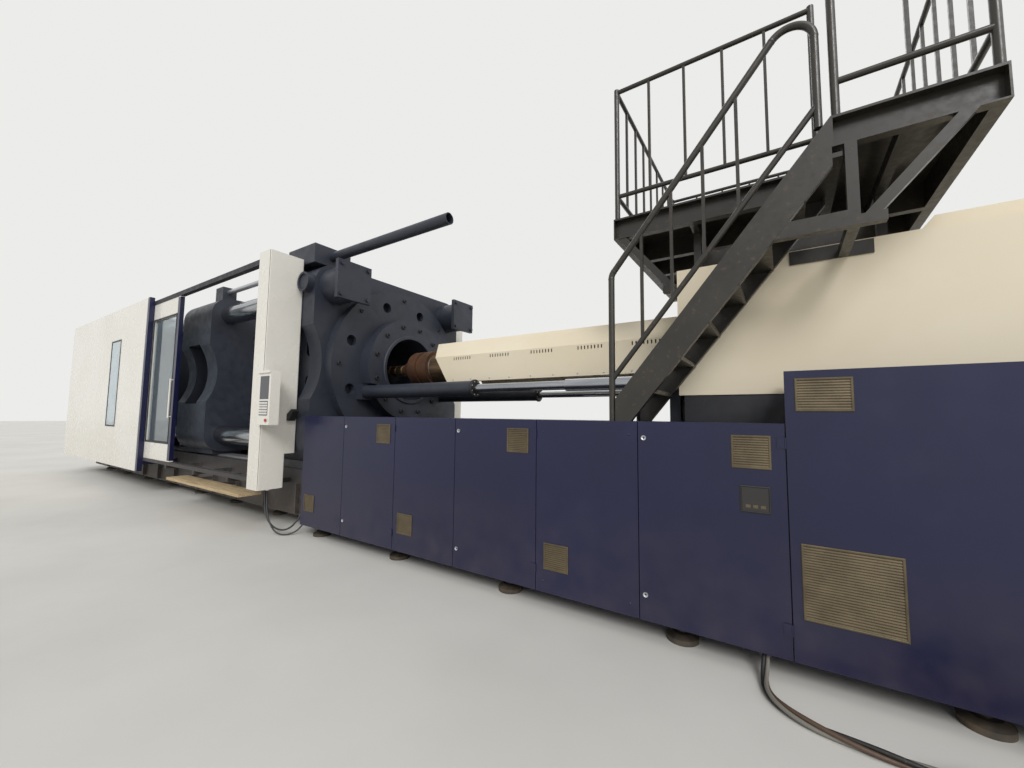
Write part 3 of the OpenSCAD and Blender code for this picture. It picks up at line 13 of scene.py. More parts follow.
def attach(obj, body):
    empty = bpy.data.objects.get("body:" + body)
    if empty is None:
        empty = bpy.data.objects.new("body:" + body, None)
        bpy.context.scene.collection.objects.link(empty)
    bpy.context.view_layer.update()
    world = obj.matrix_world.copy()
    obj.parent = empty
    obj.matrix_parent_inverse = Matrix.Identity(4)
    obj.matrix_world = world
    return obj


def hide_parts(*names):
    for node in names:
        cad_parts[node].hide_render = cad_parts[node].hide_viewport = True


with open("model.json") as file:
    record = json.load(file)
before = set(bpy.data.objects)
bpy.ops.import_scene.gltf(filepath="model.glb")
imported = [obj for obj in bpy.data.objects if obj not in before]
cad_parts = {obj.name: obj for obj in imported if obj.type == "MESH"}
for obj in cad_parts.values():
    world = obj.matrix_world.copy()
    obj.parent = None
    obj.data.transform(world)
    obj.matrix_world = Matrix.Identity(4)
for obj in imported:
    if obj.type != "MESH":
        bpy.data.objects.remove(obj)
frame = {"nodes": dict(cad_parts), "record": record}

Colour = tuple[float, float, float, float]
Point = tuple[float, float, float]
Pane = tuple[float, float, float, float]  # an upright rectangle: X, Z, width and height
Span = tuple[float, float]
Profile = tuple[Span, ...]
Array = np.ndarray
Piece = bpy.types.Object
Socket = bpy.types.NodeSocket

LOG = logging.getLogger("machine")
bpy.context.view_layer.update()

# Hairlines that keep a piece off what carries it, in metres.
CLOSE_GAP, FACE_GAP, SHEET_GAP = 0.0002, 0.0003, 0.0004
SMOOTH_UP_TO = math.radians(35)


def tone(red: int, green: int, blue: int) -> Colour:
    """Linear colour of an sRGB colour.

    Args:
        red: The red, from 0 to 255.
        green: The green.
        blue: The blue.

    Returns:
        The colour, opaque.
    """
    values = np.array([red, green, blue]) / 255.0
    low, high = values / 12.92, ((values + 0.055) / 1.055) ** 2.4
    return (*np.where(values <= 0.04045, low, high).tolist(), 1.0)


@dataclass
class Graph:
    """The nodes of one material or world, and the steps that the finishes are built from."""

    tree: bpy.types.NodeTree

    def node(self, kind: str) -> bpy.types.Node:
        """A new node of a kind."""
        return self.tree.nodes.new(kind)

    def link(self, source: Socket, target: Socket) -> None:
        """Joins an output to an input."""
        self.tree.links.new(source, target)

    def noise(self, place: Socket, scale: float, detail: float) -> Socket:
        """A noise read at a place.

        Args:
            place: The coordinates that it reads.
            scale: How fine it is.
            detail: How many octaves it has.

        Returns:
            The noise, from 0 to 1.
        """
        node = self.node("ShaderNodeTexNoise")
        node.inputs["Scale"].default_value = scale
        node.inputs["Detail"].default_value = detail
        self.link(place, node.inputs["Vector"])
        return node.outputs["Fac"]

    def level(self, value: Socket, span: Span, result: Span) -> Socket:
        """Stretches a value from one span to another, and keeps it inside that.

        Args:
            value: The value.
            span: Where the value starts and ends.
            result: What it becomes at the two ends.

        Returns:
            The stretched value.
        """
        node = self.node("ShaderNodeMapRange")
        node.clamp = True
        for key, number in zip(("From Min", "From Max", "To Min", "To Max"), (*span, *result)):
            node.inputs[key].default_value = number
        self.link(value, node.inputs["Value"])
        return node.outputs["Result"]

    def joined(self, operation: str, one: Socket, two: Socket) -> Socket:
        """Two values worked into one, such as their product or the greater of them.

        Args:
            operation: What is done, as Blender names it.
            one: The first value.
            two: The second value.

        Returns:
            The result.
        """
        node = self.node("ShaderNodeMath")
        node.operation = operation
        self.link(one, node.inputs[0])
        self.link(two, node.inputs[1])
        return node.outputs[0]

    def mix(self, share: Socket, one: Socket | Colour, two: Socket | Colour) -> Socket:
        """Mixes two colours by a share that varies over the surface.

        Args:
            share: 0 for the first colour, 1 for the second.
            one: The first colour, from a socket or as numbers.
            two: The second colour.

        Returns:
            The mixed colour.
        """
        node = self.node("ShaderNodeMix")
        node.data_type = "RGBA"
        self.link(share, node.inputs[0])
        for socket, colour in ((node.inputs[6], one), (node.inputs[7], two)):
            if isinstance(colour, tuple):
                socket.default_value = colour
            else:
                self.link(colour, socket)
        return node.outputs[2]


class Surface(Enum):
    """What a finish is, which settles its grain's direction and what its bump follows."""

    PAINT = "paint"
    CAST = "cast"
    BRUSHED = "brushed"
    PLASTIC = "plastic"
    GLASS = "glass"
    PLANK = "plank"
    BUNDLE = "bundle"


STRETCH = {Surface.BRUSHED: (1.0, 14.0, 14.0), Surface.PLANK: (0.6, 9.0, 9.0)}
FLOOR_DUST, PALE_STRAND, BROWN_STRAND = tone(150, 132, 108), tone(122, 118, 110), tone(84, 66, 52)


@dataclass(frozen=True)
class Finish:
    """A finish of the machine, with its colour, its wear and its grain.

    The colour drifts between base and drift with a coarse noise, marks show where a sharper
    noise passes a level, and dust lies on the lowest metre, more of it further down.

    Attributes:
        name: The material's name.
        kind: What it is.
        base: Its colour.
        drift: The colour that it drifts to.
        rough: Its lowest and highest roughness.
        metal: How metallic it is.
        marks: How strongly marks show.
        mark_tone: Their colour.
        dust: The share of dust near the floor.
        coarse: Scale of the drift.
        grain: Scale of the fine grain.
        bump: Strength of the relief.
        coat: Weight of a clear coat.
        clear: How much light goes through.
    """

    name: str
    kind: Surface
    base: Colour
    drift: Colour
    rough: Span = (0.35, 0.5)
    metal: float = 0.0
    marks: float = 0.12
    mark_tone: Colour = (0.2, 0.18, 0.15, 1.0)
    dust: float = 0.0
    coarse: float = 1.6
    grain: float = 180.0
    bump: float = 0.05
    coat: float = 0.0
    clear: float = 0.0

    def material(self) -> bpy.types.Material:
        """The finish as a node material, made once.

        Returns:
            The material. It reads Object coordinates, and on a cable bundle the UV map too.
        """
        made = bpy.data.materials.get(self.name)
        if made is not None:
            return made
        made = bpy.data.materials.new(self.name)
        made.use_nodes = True
        made.node_tree.nodes.clear()
        graph = Graph(made.node_tree)
        out, shader = graph.node("ShaderNodeOutputMaterial"), graph.node("ShaderNodeBsdfPrincipled")
        graph.link(shader.outputs["BSDF"], out.inputs["Surface"])
        for key, number in (("Metallic", self.metal), ("Coat Weight", self.coat),
                            ("Coat Roughness", 0.12), ("Transmission Weight", self.clear)):
            shader.inputs[key].default_value = number
        place = graph.node("ShaderNodeTexCoord").outputs["Object"]
        mapping = graph.node("ShaderNodeMapping")
        mapping.inputs["Scale"].default_value = STRETCH.get(self.kind, (1.0, 1.0, 1.0))
        graph.link(place, mapping.inputs["Vector"])
        broad, sharp, fine = (
            graph.noise(mapping.outputs["Vector"], scale, detail)
            for scale, detail in ((self.coarse, 4.0), (self.coarse * 7.0, 8.0), (self.grain, 2.0)))
        colour = graph.mix(graph.level(broad, (0.35, 0.65), (0.0, 1.0)), self.base, self.drift)
        marked = graph.level(sharp, (0.60, 0.72), (0.0, self.marks))
        colour = graph.mix(marked, colour, self.mark_tone)
        if self.kind is Surface.BUNDLE:
            colour = self.strands(graph, colour)
        if self.dust > 0.0:
            colour = self.dusted(graph, place, sharp, colour)
        graph.link(colour, shader.inputs["Base Color"])
        graph.link(graph.level(sharp, (0.3, 0.7), self.rough), shader.inputs["Roughness"])
        bump = graph.node("ShaderNodeBump")
        bump.inputs["Strength"].default_value = self.bump
        bump.inputs["Distance"].default_value = 0.004 if self.kind is Surface.CAST else 0.001
        graph.link(sharp if self.kind is Surface.CAST else fine, bump.inputs["Height"])
        graph.link(bump.outputs["Normal"], shader.inputs["Normal"])
        return made

    def strands(self, graph: Graph, colour: Socket) -> Socket:
        """Colours the strands of a cable bundle apart, by the number kept in the UV map.

        Args:
            graph: The material's nodes.
            colour: The colour so far.

        Returns:
            The colour with one pale strand and one brown one.
        """
        split = graph.node("ShaderNodeSeparateXYZ")
        graph.link(graph.node("ShaderNodeUVMap").outputs["UV"], split.inputs["Vector"])
        pale = graph.level(split.outputs["X"], (0.335, 0.33), (0.0, 1.0))
        brown = graph.level(split.outputs["X"], (0.665, 0.67), (0.0, 1.0))
        return graph.mix(brown, graph.mix(pale, colour, PALE_STRAND), BROWN_STRAND)

    def dusted(self, graph: Graph, place: Socket, patches: Socket, colour: Socket) -> Socket:
        """Lays dust over a colour: its share falls to nothing at a height of a metre.

        Args:
            graph: The material's nodes.
            place: The Object coordinates.
            patches: The noise that makes the dust uneven.
            colour: The colour so far.

        Returns:
            The dusty colour.
        """
        split = graph.node("ShaderNodeSeparateXYZ")
        graph.link(place, split.inputs["Vector"])
        low = graph.level(split.outputs["Z"], (0.05, 1.0), (self.dust, 0.0))
        uneven = graph.level(patches, (0.3, 0.7), (0.2, 1.0))
        return graph.mix(graph.joined("MULTIPLY", low, uneven), colour, FLOOR_DUST)


PLATEN = Finish("platen_enamel", Surface.CAST, tone(46, 50, 61), tone(38, 42, 51), (0.36, 0.58),
                marks=0.3, mark_tone=tone(34, 34, 36), coarse=1.1, bump=0.25, dust=0.12)
BED = Finish("bed_enamel", Surface.CAST, tone(43, 44, 50), tone(32, 33, 38), (0.45, 0.7),
             marks=0.35, mark_tone=tone(74, 66, 56), bump=0.2, dust=0.35)
WHITE = Finish("white_powder_coat", Surface.PAINT, tone(228, 225, 217), tone(223, 219, 209),
               (0.20, 0.32), marks=0.05, mark_tone=tone(186, 176, 158), coarse=0.7, dust=0.12,
               bump=0.012, coat=0.1)
CREAM = Finish("cream_powder_coat", Surface.PAINT, tone(230, 219, 195), tone(225, 212, 185),
               (0.30, 0.44), marks=0.06, mark_tone=tone(184, 164, 130), coarse=0.7, bump=0.02)
NAVY = Finish("navy_powder_coat", Surface.PAINT, tone(12, 17, 58), tone(10, 15, 52),
              (0.28, 0.40), marks=0.04, mark_tone=tone(58, 62, 84), coarse=0.7, grain=520.0,
              bump=0.08, dust=0.08, coat=0.12)
FRAME_BLACK = Finish("frame_enamel", Surface.PAINT, tone(40, 36, 29), tone(30, 27, 22),
                     (0.32, 0.55), marks=0.35, mark_tone=tone(92, 74, 50), coarse=4.0,
                     bump=0.12, coat=0.2)
BRONZE = Finish("vent_bronze", Surface.PAINT, tone(104, 92, 70), tone(88, 77, 58), (0.35, 0.55),
                metal=0.35, marks=0.15, mark_tone=tone(60, 50, 38), coarse=9.0)
CHROME = Finish("oiled_chrome", Surface.BRUSHED, tone(178, 182, 188), tone(150, 152, 156),
                (0.10, 0.24), metal=1.0, marks=0.25, mark_tone=tone(96, 84, 66), bump=0.03)
STEEL = Finish("ground_steel", Surface.BRUSHED, tone(150, 150, 148), tone(118, 116, 112),
               (0.25, 0.45), metal=1.0, marks=0.3, mark_tone=tone(96, 78, 58), bump=0.08)
BLACKENED = Finish("blackened_steel", Surface.CAST, tone(32, 32, 33), tone(22, 22, 23),
                   (0.45, 0.7), marks=0.4, mark_tone=tone(82, 62, 46), dust=0.3, bump=0.15)
HEAT = Finish("heated_bands", Surface.BRUSHED, tone(150, 126, 98), tone(104, 84, 66), (0.3, 0.5),
              metal=0.9, marks=0.4, mark_tone=tone(58, 44, 36))
COPPER = Finish("browned_head", Surface.CAST, tone(118, 84, 62), tone(82, 60, 48), (0.35, 0.6),
                metal=0.55, marks=0.4, mark_tone=tone(48, 38, 32), bump=0.12)
GLASS = Finish("guard_pane", Surface.GLASS, tone(206, 220, 226), tone(196, 212, 220),
               (0.04, 0.10), clear=0.9, marks=0.06, mark_tone=tone(170, 172, 168), bump=0.01)
SCREEN = Finish("panel_glass", Surface.PLASTIC, tone(24, 30, 38), tone(18, 22, 30), (0.08, 0.18),
                marks=0.05, mark_tone=tone(60, 64, 70), coat=0.6)
BLACK = Finish("black_moulding", Surface.PLASTIC, tone(26, 26, 28), tone(18, 18, 20),
               (0.42, 0.6), marks=0.15, mark_tone=tone(72, 68, 62), grain=420.0, bump=0.12)
KEYPAD = Finish("keypad_film", Surface.PLASTIC, tone(74, 82, 98), tone(64, 71, 86), (0.3, 0.42),
                marks=0.08, mark_tone=tone(96, 92, 84), coarse=8.0, bump=0.03)
RED = Finish("red_moulding", Surface.PLASTIC, tone(186, 28, 24), tone(160, 20, 18), (0.2, 0.35),
             marks=0.1, mark_tone=tone(110, 20, 18), coat=0.3)
HOSE = Finish("ribbed_hose", Surface.PLASTIC, tone(62, 62, 64), tone(44, 44, 46), (0.45, 0.65),
              marks=0.3, mark_tone=tone(112, 104, 92), grain=300.0, bump=0.15, coarse=12.0)
BUNDLE = Finish("cable_bundle", Surface.BUNDLE, tone(34, 33, 33), tone(24, 24, 25), (0.42, 0.62),
                marks=0.35, mark_tone=tone(110, 100, 86), coarse=9.0, grain=240.0, bump=0.18)
PLANK = Finish("worn_plank", Surface.PLANK, tone(196, 176, 140), tone(164, 140, 104), (0.6, 0.8),
               marks=0.5, mark_tone=tone(104, 84, 60), coarse=5.0, grain=60.0, bump=0.35)
DARK_GLASS = Finish("meter_glass", Surface.PLASTIC, tone(20, 18, 18), tone(12, 12, 14),
                    (0.06, 0.16), marks=0.05, mark_tone=tone(60, 50, 44), coat=0.8)
FLOOR = Finish("pale_floor", Surface.PLASTIC, tone(214, 212, 206), tone(206, 204, 198),
               (0.6, 0.75), marks=0.05, mark_tone=tone(190, 186, 178), coarse=0.5, bump=0.02)

NODE_FINISH: dict[str, Finish] = {
    "platen_paint": PLATEN, "bed_paint": BED, "chrome": CHROME, "ground_steel": STEEL,
    "black_steel": BLACKENED, "white_paint": WHITE, "navy_paint": NAVY, "cream_paint": CREAM,
    "dark_frame": FRAME_BLACK, "heater_metal": HEAT, "copper_head": COPPER, "screen_glass": SCREEN,
    "clear_glass": GLASS, "black_plastic": BLACK, "red_plastic": RED, "grey_hose": HOSE,
    "cable_jacket": BUNDLE, "wood": PLANK,
}


def around_turn(sides: int) -> Array:
    """Angles spread evenly over a full turn, as one row."""
    return np.linspace(0.0, 2 * np.pi, sides, endpoint=False)[None, :]


def rectangle(pane: Pane) -> Array:
    """The corners of an upright rectangle, in X and Z, from the low one round."""
    x, z, wide, high = pane
    return np.array([[x, z], [x + wide, z], [x + wide, z + high], [x, z + high]])


def run_of(path: Array) -> Array:
    """Distance run along a path at each of its points, in metres."""
    steps = np.linalg.norm(np.diff(path, axis=0), axis=1)
    return np.concatenate([[0.0], np.cumsum(steps)])


def smooth_route(route: Array, step: float) -> Array:
    """A smooth curve through a route's points, sampled evenly.

    Each stretch is a cubic whose slope at a point is half the step from the point before to the
    point after.

    Args:
        route: The points that it goes through, n x 3.
        step: Distance between samples, in metres.

    Returns:
        The samples, m x 3, with both ends kept.
    """
    slope = np.gradient(route, axis=0)
    share = np.linspace(0.0, 1.0, 24, endpoint=False)[None, :, None]
    start, end = route[:-1, None], route[1:, None]
    leave, reach = slope[:-1, None], slope[1:, None]
    curve = ((2 * share**3 - 3 * share**2 + 1) * start + (share**3 - 2 * share**2 + share) * leave
             + (3 * share**2 - 2 * share**3) * end + (share**3 - share**2) * reach)
    curve = np.concatenate([curve.reshape(-1, 3), route[-1:]])
    run = run_of(curve)
    even = np.linspace(0.0, run[-1], max(3, int(run[-1] / step) + 1))
    return np.stack([np.interp(even, run, curve[:, axis]) for axis in range(3)], axis=1)


def ease(value: Array, low: float, high: float) -> Array:
    """Rises smoothly from 0 at low to 1 at high."""
    share = np.clip((value - low) / (high - low), 0.0, 1.0)
    return share * share * (3 - 2 * share)


@dataclass(frozen=True)
class BoltCircle:
    """Socket-head bolts spread evenly round a circle that faces along X.

    Attributes:
        radius: The circle's radius.
        count: How many bolts there are.
        start: Angle of the first, in degrees from +Y.
        head: Radius of a bolt's head, which its height and socket follow.
    """

    radius: float
    count: int
    start: float
    head: float

    def spots(self, centre: Point) -> Array:
        """The bolts' places, by the cosine and the sine of their angles round the centre.

        Args:
            centre: The circle's centre.

        Returns:
            The places, count x 3.
        """
        angle = np.radians(self.start) + around_turn(self.count)[0]
        turned = [np.zeros(self.count), self.radius * np.cos(angle), self.radius * np.sin(angle)]
        return np.stack(turned, axis=1) + centre

    def profile(self, out: int = 1) -> Array:
        """Profile of a head, with a chamfer and a sunk socket, in shares of its radius.

        Args:
            out: 1 where it faces along its axis, -1 where it faces back.

        Returns:
            The profile, for lathe.
        """
        return self.head * np.array([[0.0, 1.0], [0.70 * out, 1.0], [0.82 * out, 0.88],
                                     [0.82 * out, 0.48], [0.30 * out, 0.46], [0.30 * out, 0.01]])


@dataclass
class Mould:
    """Turns whole arrays of points into pieces that ride on a body."""

    count: int = 0

    def skin(self, name: str, points: Array, loop: bool = False, uv: Array | None = None) -> Piece:
        """A surface from a grid of points: point (i, j) is joined to its neighbours in i and j.

        The last column joins the first.

        Args:
            name: The piece's name.
            points: Rows x columns x 3, or several such grids as parts x rows x columns x 3.
            loop: Whether the last row joins the first too. If not, both are closed with a cap.
            uv: An array like points, with 2 numbers for each, for the UV map, or none.

        Returns:
            The new object, at the origin.
        """
        rows, columns = points.shape[-3:-1]
        row, column = np.arange(rows if loop else rows - 1)[:, None], np.arange(columns)[None, :]
        after_row, after_column = (row + 1) % rows, (column + 1) % columns
        quads = np.stack([row * columns + column, row * columns + after_column,
                          after_row * columns + after_column, after_row * columns + column],
                         axis=-1)
        first = np.arange(points.size // (rows * columns * 3)) * rows * columns
        faces = (quads.reshape(1, -1, 4) + first[:, None, None]).reshape(-1, 4).tolist()
        if not loop:
            ends = np.stack([np.arange(columns)[::-1], np.arange(columns) + (rows - 1) * columns])
            faces += (ends[None] + first[:, None, None]).reshape(-1, columns).tolist()
        mesh = bpy.data.meshes.new(name)
        mesh.from_pydata(points.reshape(-1, 3).tolist(), [], faces)
        if uv is not None:
            layer = mesh.uv_layers.new(name="UVMap")
            corners = np.zeros(len(mesh.loops), dtype=np.int32)
            mesh.loops.foreach_get("vertex_index", corners)
            layer.data.foreach_set("uv", uv.reshape(-1, 2)[corners].astype(np.float32).ravel())
        mesh.validate()
        mesh.update()
        piece = bpy.data.objects.new(name, mesh)
        bpy.context.scene.collection.objects.link(piece)
        self.face_out(mesh)
        self.count += 1
        return piece

    def face_out(self, mesh: bpy.types.Mesh) -> None:
        """Turns a closed skin's faces outwards, by the sign of its volume.

        Args:
            mesh: The skin's mesh, which is changed in place.
        """
        corners = np.zeros(len(mesh.vertices) * 3)
        mesh.vertices.foreach_get("co", corners)
        spots = corners.reshape(-1, 3)
        mesh.calc_loop_triangles()
        triangles = np.zeros(len(mesh.loop_triangles) * 3, dtype=np.int32)
        mesh.loop_triangles.foreach_get("vertices", triangles)
        a, b, c = (spots[triangles.reshape(-1, 3)[:, k]] - spots.mean(axis=0) for k in range(3))
        if np.einsum("ij,ij->i", a, np.cross(b, c)).sum() < 0:
            mesh.flip_normals()

    def dress(
        self, piece: Piece, finish: Finish, slot: str, body: str = "root",
        smooth: bool = True, bevel: float = 0.0,
    ) -> None:
        """Gives a piece its finish and the body that it rides on.

        Args:
            piece: The object.
            finish: Its finish.
            slot: The record's material slot; not used.
            body: The body's name.
            smooth: Whether its faces are shaded smooth where they meet at a flat angle.
            bevel: Width of a bevel on its edges, in metres.
        """
        piece.data.materials.append(finish.material())
        if smooth:
            piece.data.shade_smooth()
            piece.data.set_sharp_from_angle(angle=SMOOTH_UP_TO)
        if bevel > 0.0:
            edge = piece.modifiers.new("edge", "BEVEL")
            edge.width, edge.segments, edge.limit_method = bevel, 2, "ANGLE"
        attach(piece, body)
        LOG.info("%s: %s, on %s", piece.name, finish.name, body)

    def prism(self, name: str, outline: Array, axis: int, low: float, high: float) -> Piece:
        """A closed outline carried straight along an axis, from low to high.

        Args:
            name: The piece's name.
            outline: An array of n x 2 in the other two axes, in their order.
            axis: 0, 1 or 2 for X, Y or Z.
            low: Where it starts along the axis.
            high: Where it ends.

        Returns:
            The new object.
        """
        ends = np.array([low, high])[:, None, None]
        flat = np.broadcast_to(outline[None], (2, *outline.shape))
        points = np.insert(flat, [axis], np.broadcast_to(ends, (2, outline.shape[0], 1)), axis=2)
        return self.skin(name, points)

    def lathe(
        self, name: str, centres: Array | Point, axis: int,
        profile: Array | Profile, sides: int = 48, hollow: bool = False,
    ) -> Piece:
        """A profile turned round an axis, at one place or at several as one piece.

        Args:
            name: The piece's name.
            centres: One point, or n x 3 of them.
            axis: 0, 1 or 2 for X, Y or Z.
            profile: m x 2: the distance along the axis and the radius.
            sides: The number of sides.
            hollow: Whether the profile is a closed outline, so that the piece is a ring.

        Returns:
            The new object.
        """
        angle, line = around_turn(sides), np.asarray(profile)
        along, radius = line[:, 0, None], line[:, 1, None]
        turned = np.stack([np.broadcast_to(along, (len(line), sides)), radius * np.cos(angle),
                           radius * np.sin(angle)], axis=-1)
        places = np.atleast_2d(centres)[:, None, None]
        return self.skin(name, np.roll(turned, axis, axis=2)[None] + places, loop=hollow)

    def rim(
        self, name: str, pane: Pane, face: float, section: Array | Profile, side: int = -1
    ) -> Piece:
        """A moulding carried round an upright rectangle that faces along Y, mitred at its corners.

        Args:
            name: The piece's name.
            pane: The rectangle's X, Z, width and height.
            face: The Y that the moulding stands on.
            section: m x 2: the distance out from the rectangle, and the rise.
            side: -1 where it faces -Y, 1 where it faces +Y.

        Returns:
            The new object.
        """
        shape = np.asarray(section)[None]
        outward = np.array([[-1, -1], [1, -1], [1, 1], [-1, 1]])
        flat = rectangle(pane)[:, None] + outward[:, None] * shape[..., :1]
        rise = np.broadcast_to(face + side * shape[..., 1], (4, shape.shape[1]))
        return self.skin(name, np.stack([flat[..., 0], rise, flat[..., 1]], axis=-1), loop=True)

    def around(self, path: Array, side: Point, angle: Array, radius: Array) -> Array:
        """Points round a path, each in the plane that stands square to the path there.

        Args:
            path: The points that it follows, n x 3.
            side: A direction that the path never runs along, which steadies the planes.
            angle: The angle of each point, n x k.
            radius: The distance of each point from the path, which must broadcast with angle.

        Returns:
            The points, n x k x 3.
        """
        along = np.gradient(path, axis=0)
        along /= np.linalg.norm(along, axis=1, keepdims=True)
        out = np.cross(side, along)
        out /= np.linalg.norm(out, axis=1, keepdims=True)
        up = np.cross(along, out)
        ring = np.cos(angle)[..., None] * out[:, None] + np.sin(angle)[..., None] * up[:, None]
        return path[:, None] + radius[..., None] * ring

    def tube(self, name: str, path: Array, radius: Array, side: Point, sides: int) -> Piece:
        """A tube round a path, with a ring of points at each of the path's.

        Args:
            name: The piece's name.
            path: The points that it follows, n x 3.
            radius: The radius at each ring, n x 1.
            side: A direction that the path never runs along.
            sides: The number of sides.

        Returns:
            The new object.
        """
        angle = np.broadcast_to(around_turn(sides), (len(path), sides))
        return self.skin(name, self.around(path, side, angle, radius))


@dataclass
class Cords:
    """The two hoses under the operator's column, and the supply cable with its coil and plug.

    Each step of the coil gives the turn, in degrees, at which it starts and ends.
    """

    mould: Mould
    hose_1: tuple[Point, ...] = (
        (0.700, -1.800, 0.566), (0.700, -1.800, 0.490), (0.703, -1.799, 0.410),
        (0.712, -1.796, 0.330), (0.732, -1.790, 0.254), (0.766, -1.779, 0.184),
        (0.814, -1.762, 0.124), (0.872, -1.736, 0.080), (0.936, -1.702, 0.056),
        (1.000, -1.660, 0.058), (1.050, -1.614, 0.092), (1.082, -1.572, 0.150),
        (1.104, -1.536, 0.212), (1.126, -1.512, 0.266), (1.152, -1.502, 0.300),
        (1.180, -1.500, 0.310), (1.206, -1.500, 0.310))
    hose_2: tuple[Point, ...] = (
        (0.760, -1.800, 0.566), (0.760, -1.800, 0.490), (0.763, -1.800, 0.410),
        (0.772, -1.799, 0.330), (0.792, -1.797, 0.252), (0.824, -1.792, 0.180),
        (0.868, -1.784, 0.116), (0.922, -1.772, 0.064), (0.984, -1.752, 0.028),
        (1.046, -1.718, 0.014), (1.094, -1.668, 0.016), (1.124, -1.612, 0.032),
        (1.138, -1.558, 0.066), (1.146, -1.510, 0.116), (1.154, -1.474, 0.172),
        (1.168, -1.456, 0.218), (1.186, -1.450, 0.240), (1.206, -1.450, 0.240))
    hose_wide: Span = (0.024, 0.020)
    rib_depth: float = 0.085
    supply: tuple[Point, ...] = (
        (6.450, -1.536, 0.114), (6.450, -1.569, 0.081), (6.450, -1.609, 0.054),
        (6.451, -1.653, 0.036), (6.454, -1.700, 0.027), (6.462, -1.750, 0.026),
        (6.478, -1.798, 0.026), (6.503, -1.842, 0.026), (6.538, -1.880, 0.026),
        (6.580, -1.912, 0.026), (6.630, -1.938, 0.026), (6.688, -1.960, 0.026),
        (6.752, -1.976, 0.026), (6.822, -1.988, 0.026), (6.900, -1.995, 0.026),
        (6.990, -1.999, 0.026), (7.090, -2.000, 0.026), (7.192, -2.000, 0.026),
        (7.262, -1.994, 0.026), (7.330, -1.981, 0.026), (7.400, -1.975, 0.026))
    cable: float = 0.050
    on_floor: float = 0.026
    coil: Span = (7.400, -2.275)
    coil_wide: float = 0.300
    step_in: Span = (272, 337)
    step_up: Span = (570, 632)
    step_out: Span = (860, 925)
    tail_starts: float = 7.44
    tail_sinks: float = 7.52
    plug_end: Point = (7.684, -1.975, 0.055)
    strand_share: float = 0.464
    strand_lay: float = 0.9

    def build(self) -> None:
        """Makes the hoses and the cable."""
        self.hose("column_hose_1", "column_loop_1", self.hose_1, self.hose_wide[0])
        self.hose("column_hose_2", "column_loop_2", self.hose_2, self.hose_wide[1])
        self.supply_cable()

    def hose(self, name: str, node: str, route: tuple[Point, ...], wide: float) -> None:
        """A ribbed hose: its radius dips by a twelfth at each rib, a third of its width apart.

        Args:
            name: The piece's name.
            node: The CAD node that it stands for.
            route: The points that it goes through.
            wide: Its diameter.
        """
        path = smooth_route(np.array(route), wide / 9)
        run = run_of(path)
        dip = self.rib_depth * (0.5 + 0.5 * np.cos(2 * np.pi * run / (wide / 3)))
        piece = self.mould.tube(name, path, (wide / 2 * (1 - dip))[:, None], (0, 1, 0), 14)
        self.mould.dress(piece, HOSE, "grey_hose")
        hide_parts(node)
        LOG.info("%s: %.3f m long", name, run[-1])

    def supply_path(self) -> Array:
        """The cable's centreline: its route on the floor, three turns of coil, then the plug.

        In the coil the angle runs clockwise from the side next to the machine. The radius steps
        in by a diameter and later out again, and between the two the height steps up by one.

        Returns:
            The points, n x 3, about 12 mm apart.
        """
        turn = np.arange(6.0, 1080.1, 6.0)
        inward = ease(turn, *self.step_in) - ease(turn, *self.step_out)
        radius = self.coil_wide - self.cable * inward
        height = self.on_floor + self.cable * ease(turn, *self.step_up)
        angle = np.radians(90.0 - turn)
        wound = np.stack([self.coil[0] + radius * np.cos(angle),
                          self.coil[1] + radius * np.sin(angle), height], axis=1)
        end_x, end_y, end_z = self.plug_end
        top = self.on_floor + self.cable
        tail_x = np.linspace(self.tail_starts, end_x, 7)
        sink = (top - end_z) * ease(tail_x, self.tail_sinks, end_x + 0.02)
        tail = np.stack([tail_x, np.full(7, end_y), top - sink], axis=1)
        tail[-1] = self.plug_end
        return smooth_route(np.concatenate([np.array(self.supply), wound, tail]), 0.012)

    def supply_cable(self) -> None:
        """Three round strands of equal size that wind round each other, as one piece."""
        path = self.supply_path()
        run = run_of(path)
        strand = self.cable / 2 * self.strand_share
        wind = 2 * np.pi * (run[:, None] / self.strand_lay + np.arange(3)[None, :] / 3)
        out = np.full_like(wind, self.cable / 2 - strand)
        centre = self.mould.around(path, (0, 0, 1), wind, out)
        angle = np.broadcast_to(around_turn(12), (len(path), 12))
        grids = np.stack([self.mould.around(centre[:, k], (0, 0, 1), angle,
                                            np.full_like(angle, strand)) for k in range(3)])
        share = np.broadcast_to(((np.arange(3) + 0.5) / 3)[:, None, None], grids.shape[:-1])
        uv = np.stack([share, np.broadcast_to(run[None, :, None], grids.shape[:-1])], axis=-1)
        piece = self.mould.skin("supply_cable", grids, uv=uv)
        self.mould.dress(piece, BUNDLE, "cable_jacket")
        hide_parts("main_cable", "main_coil")
        LOG.info("supply_cable: %.3f m long", run[-1])


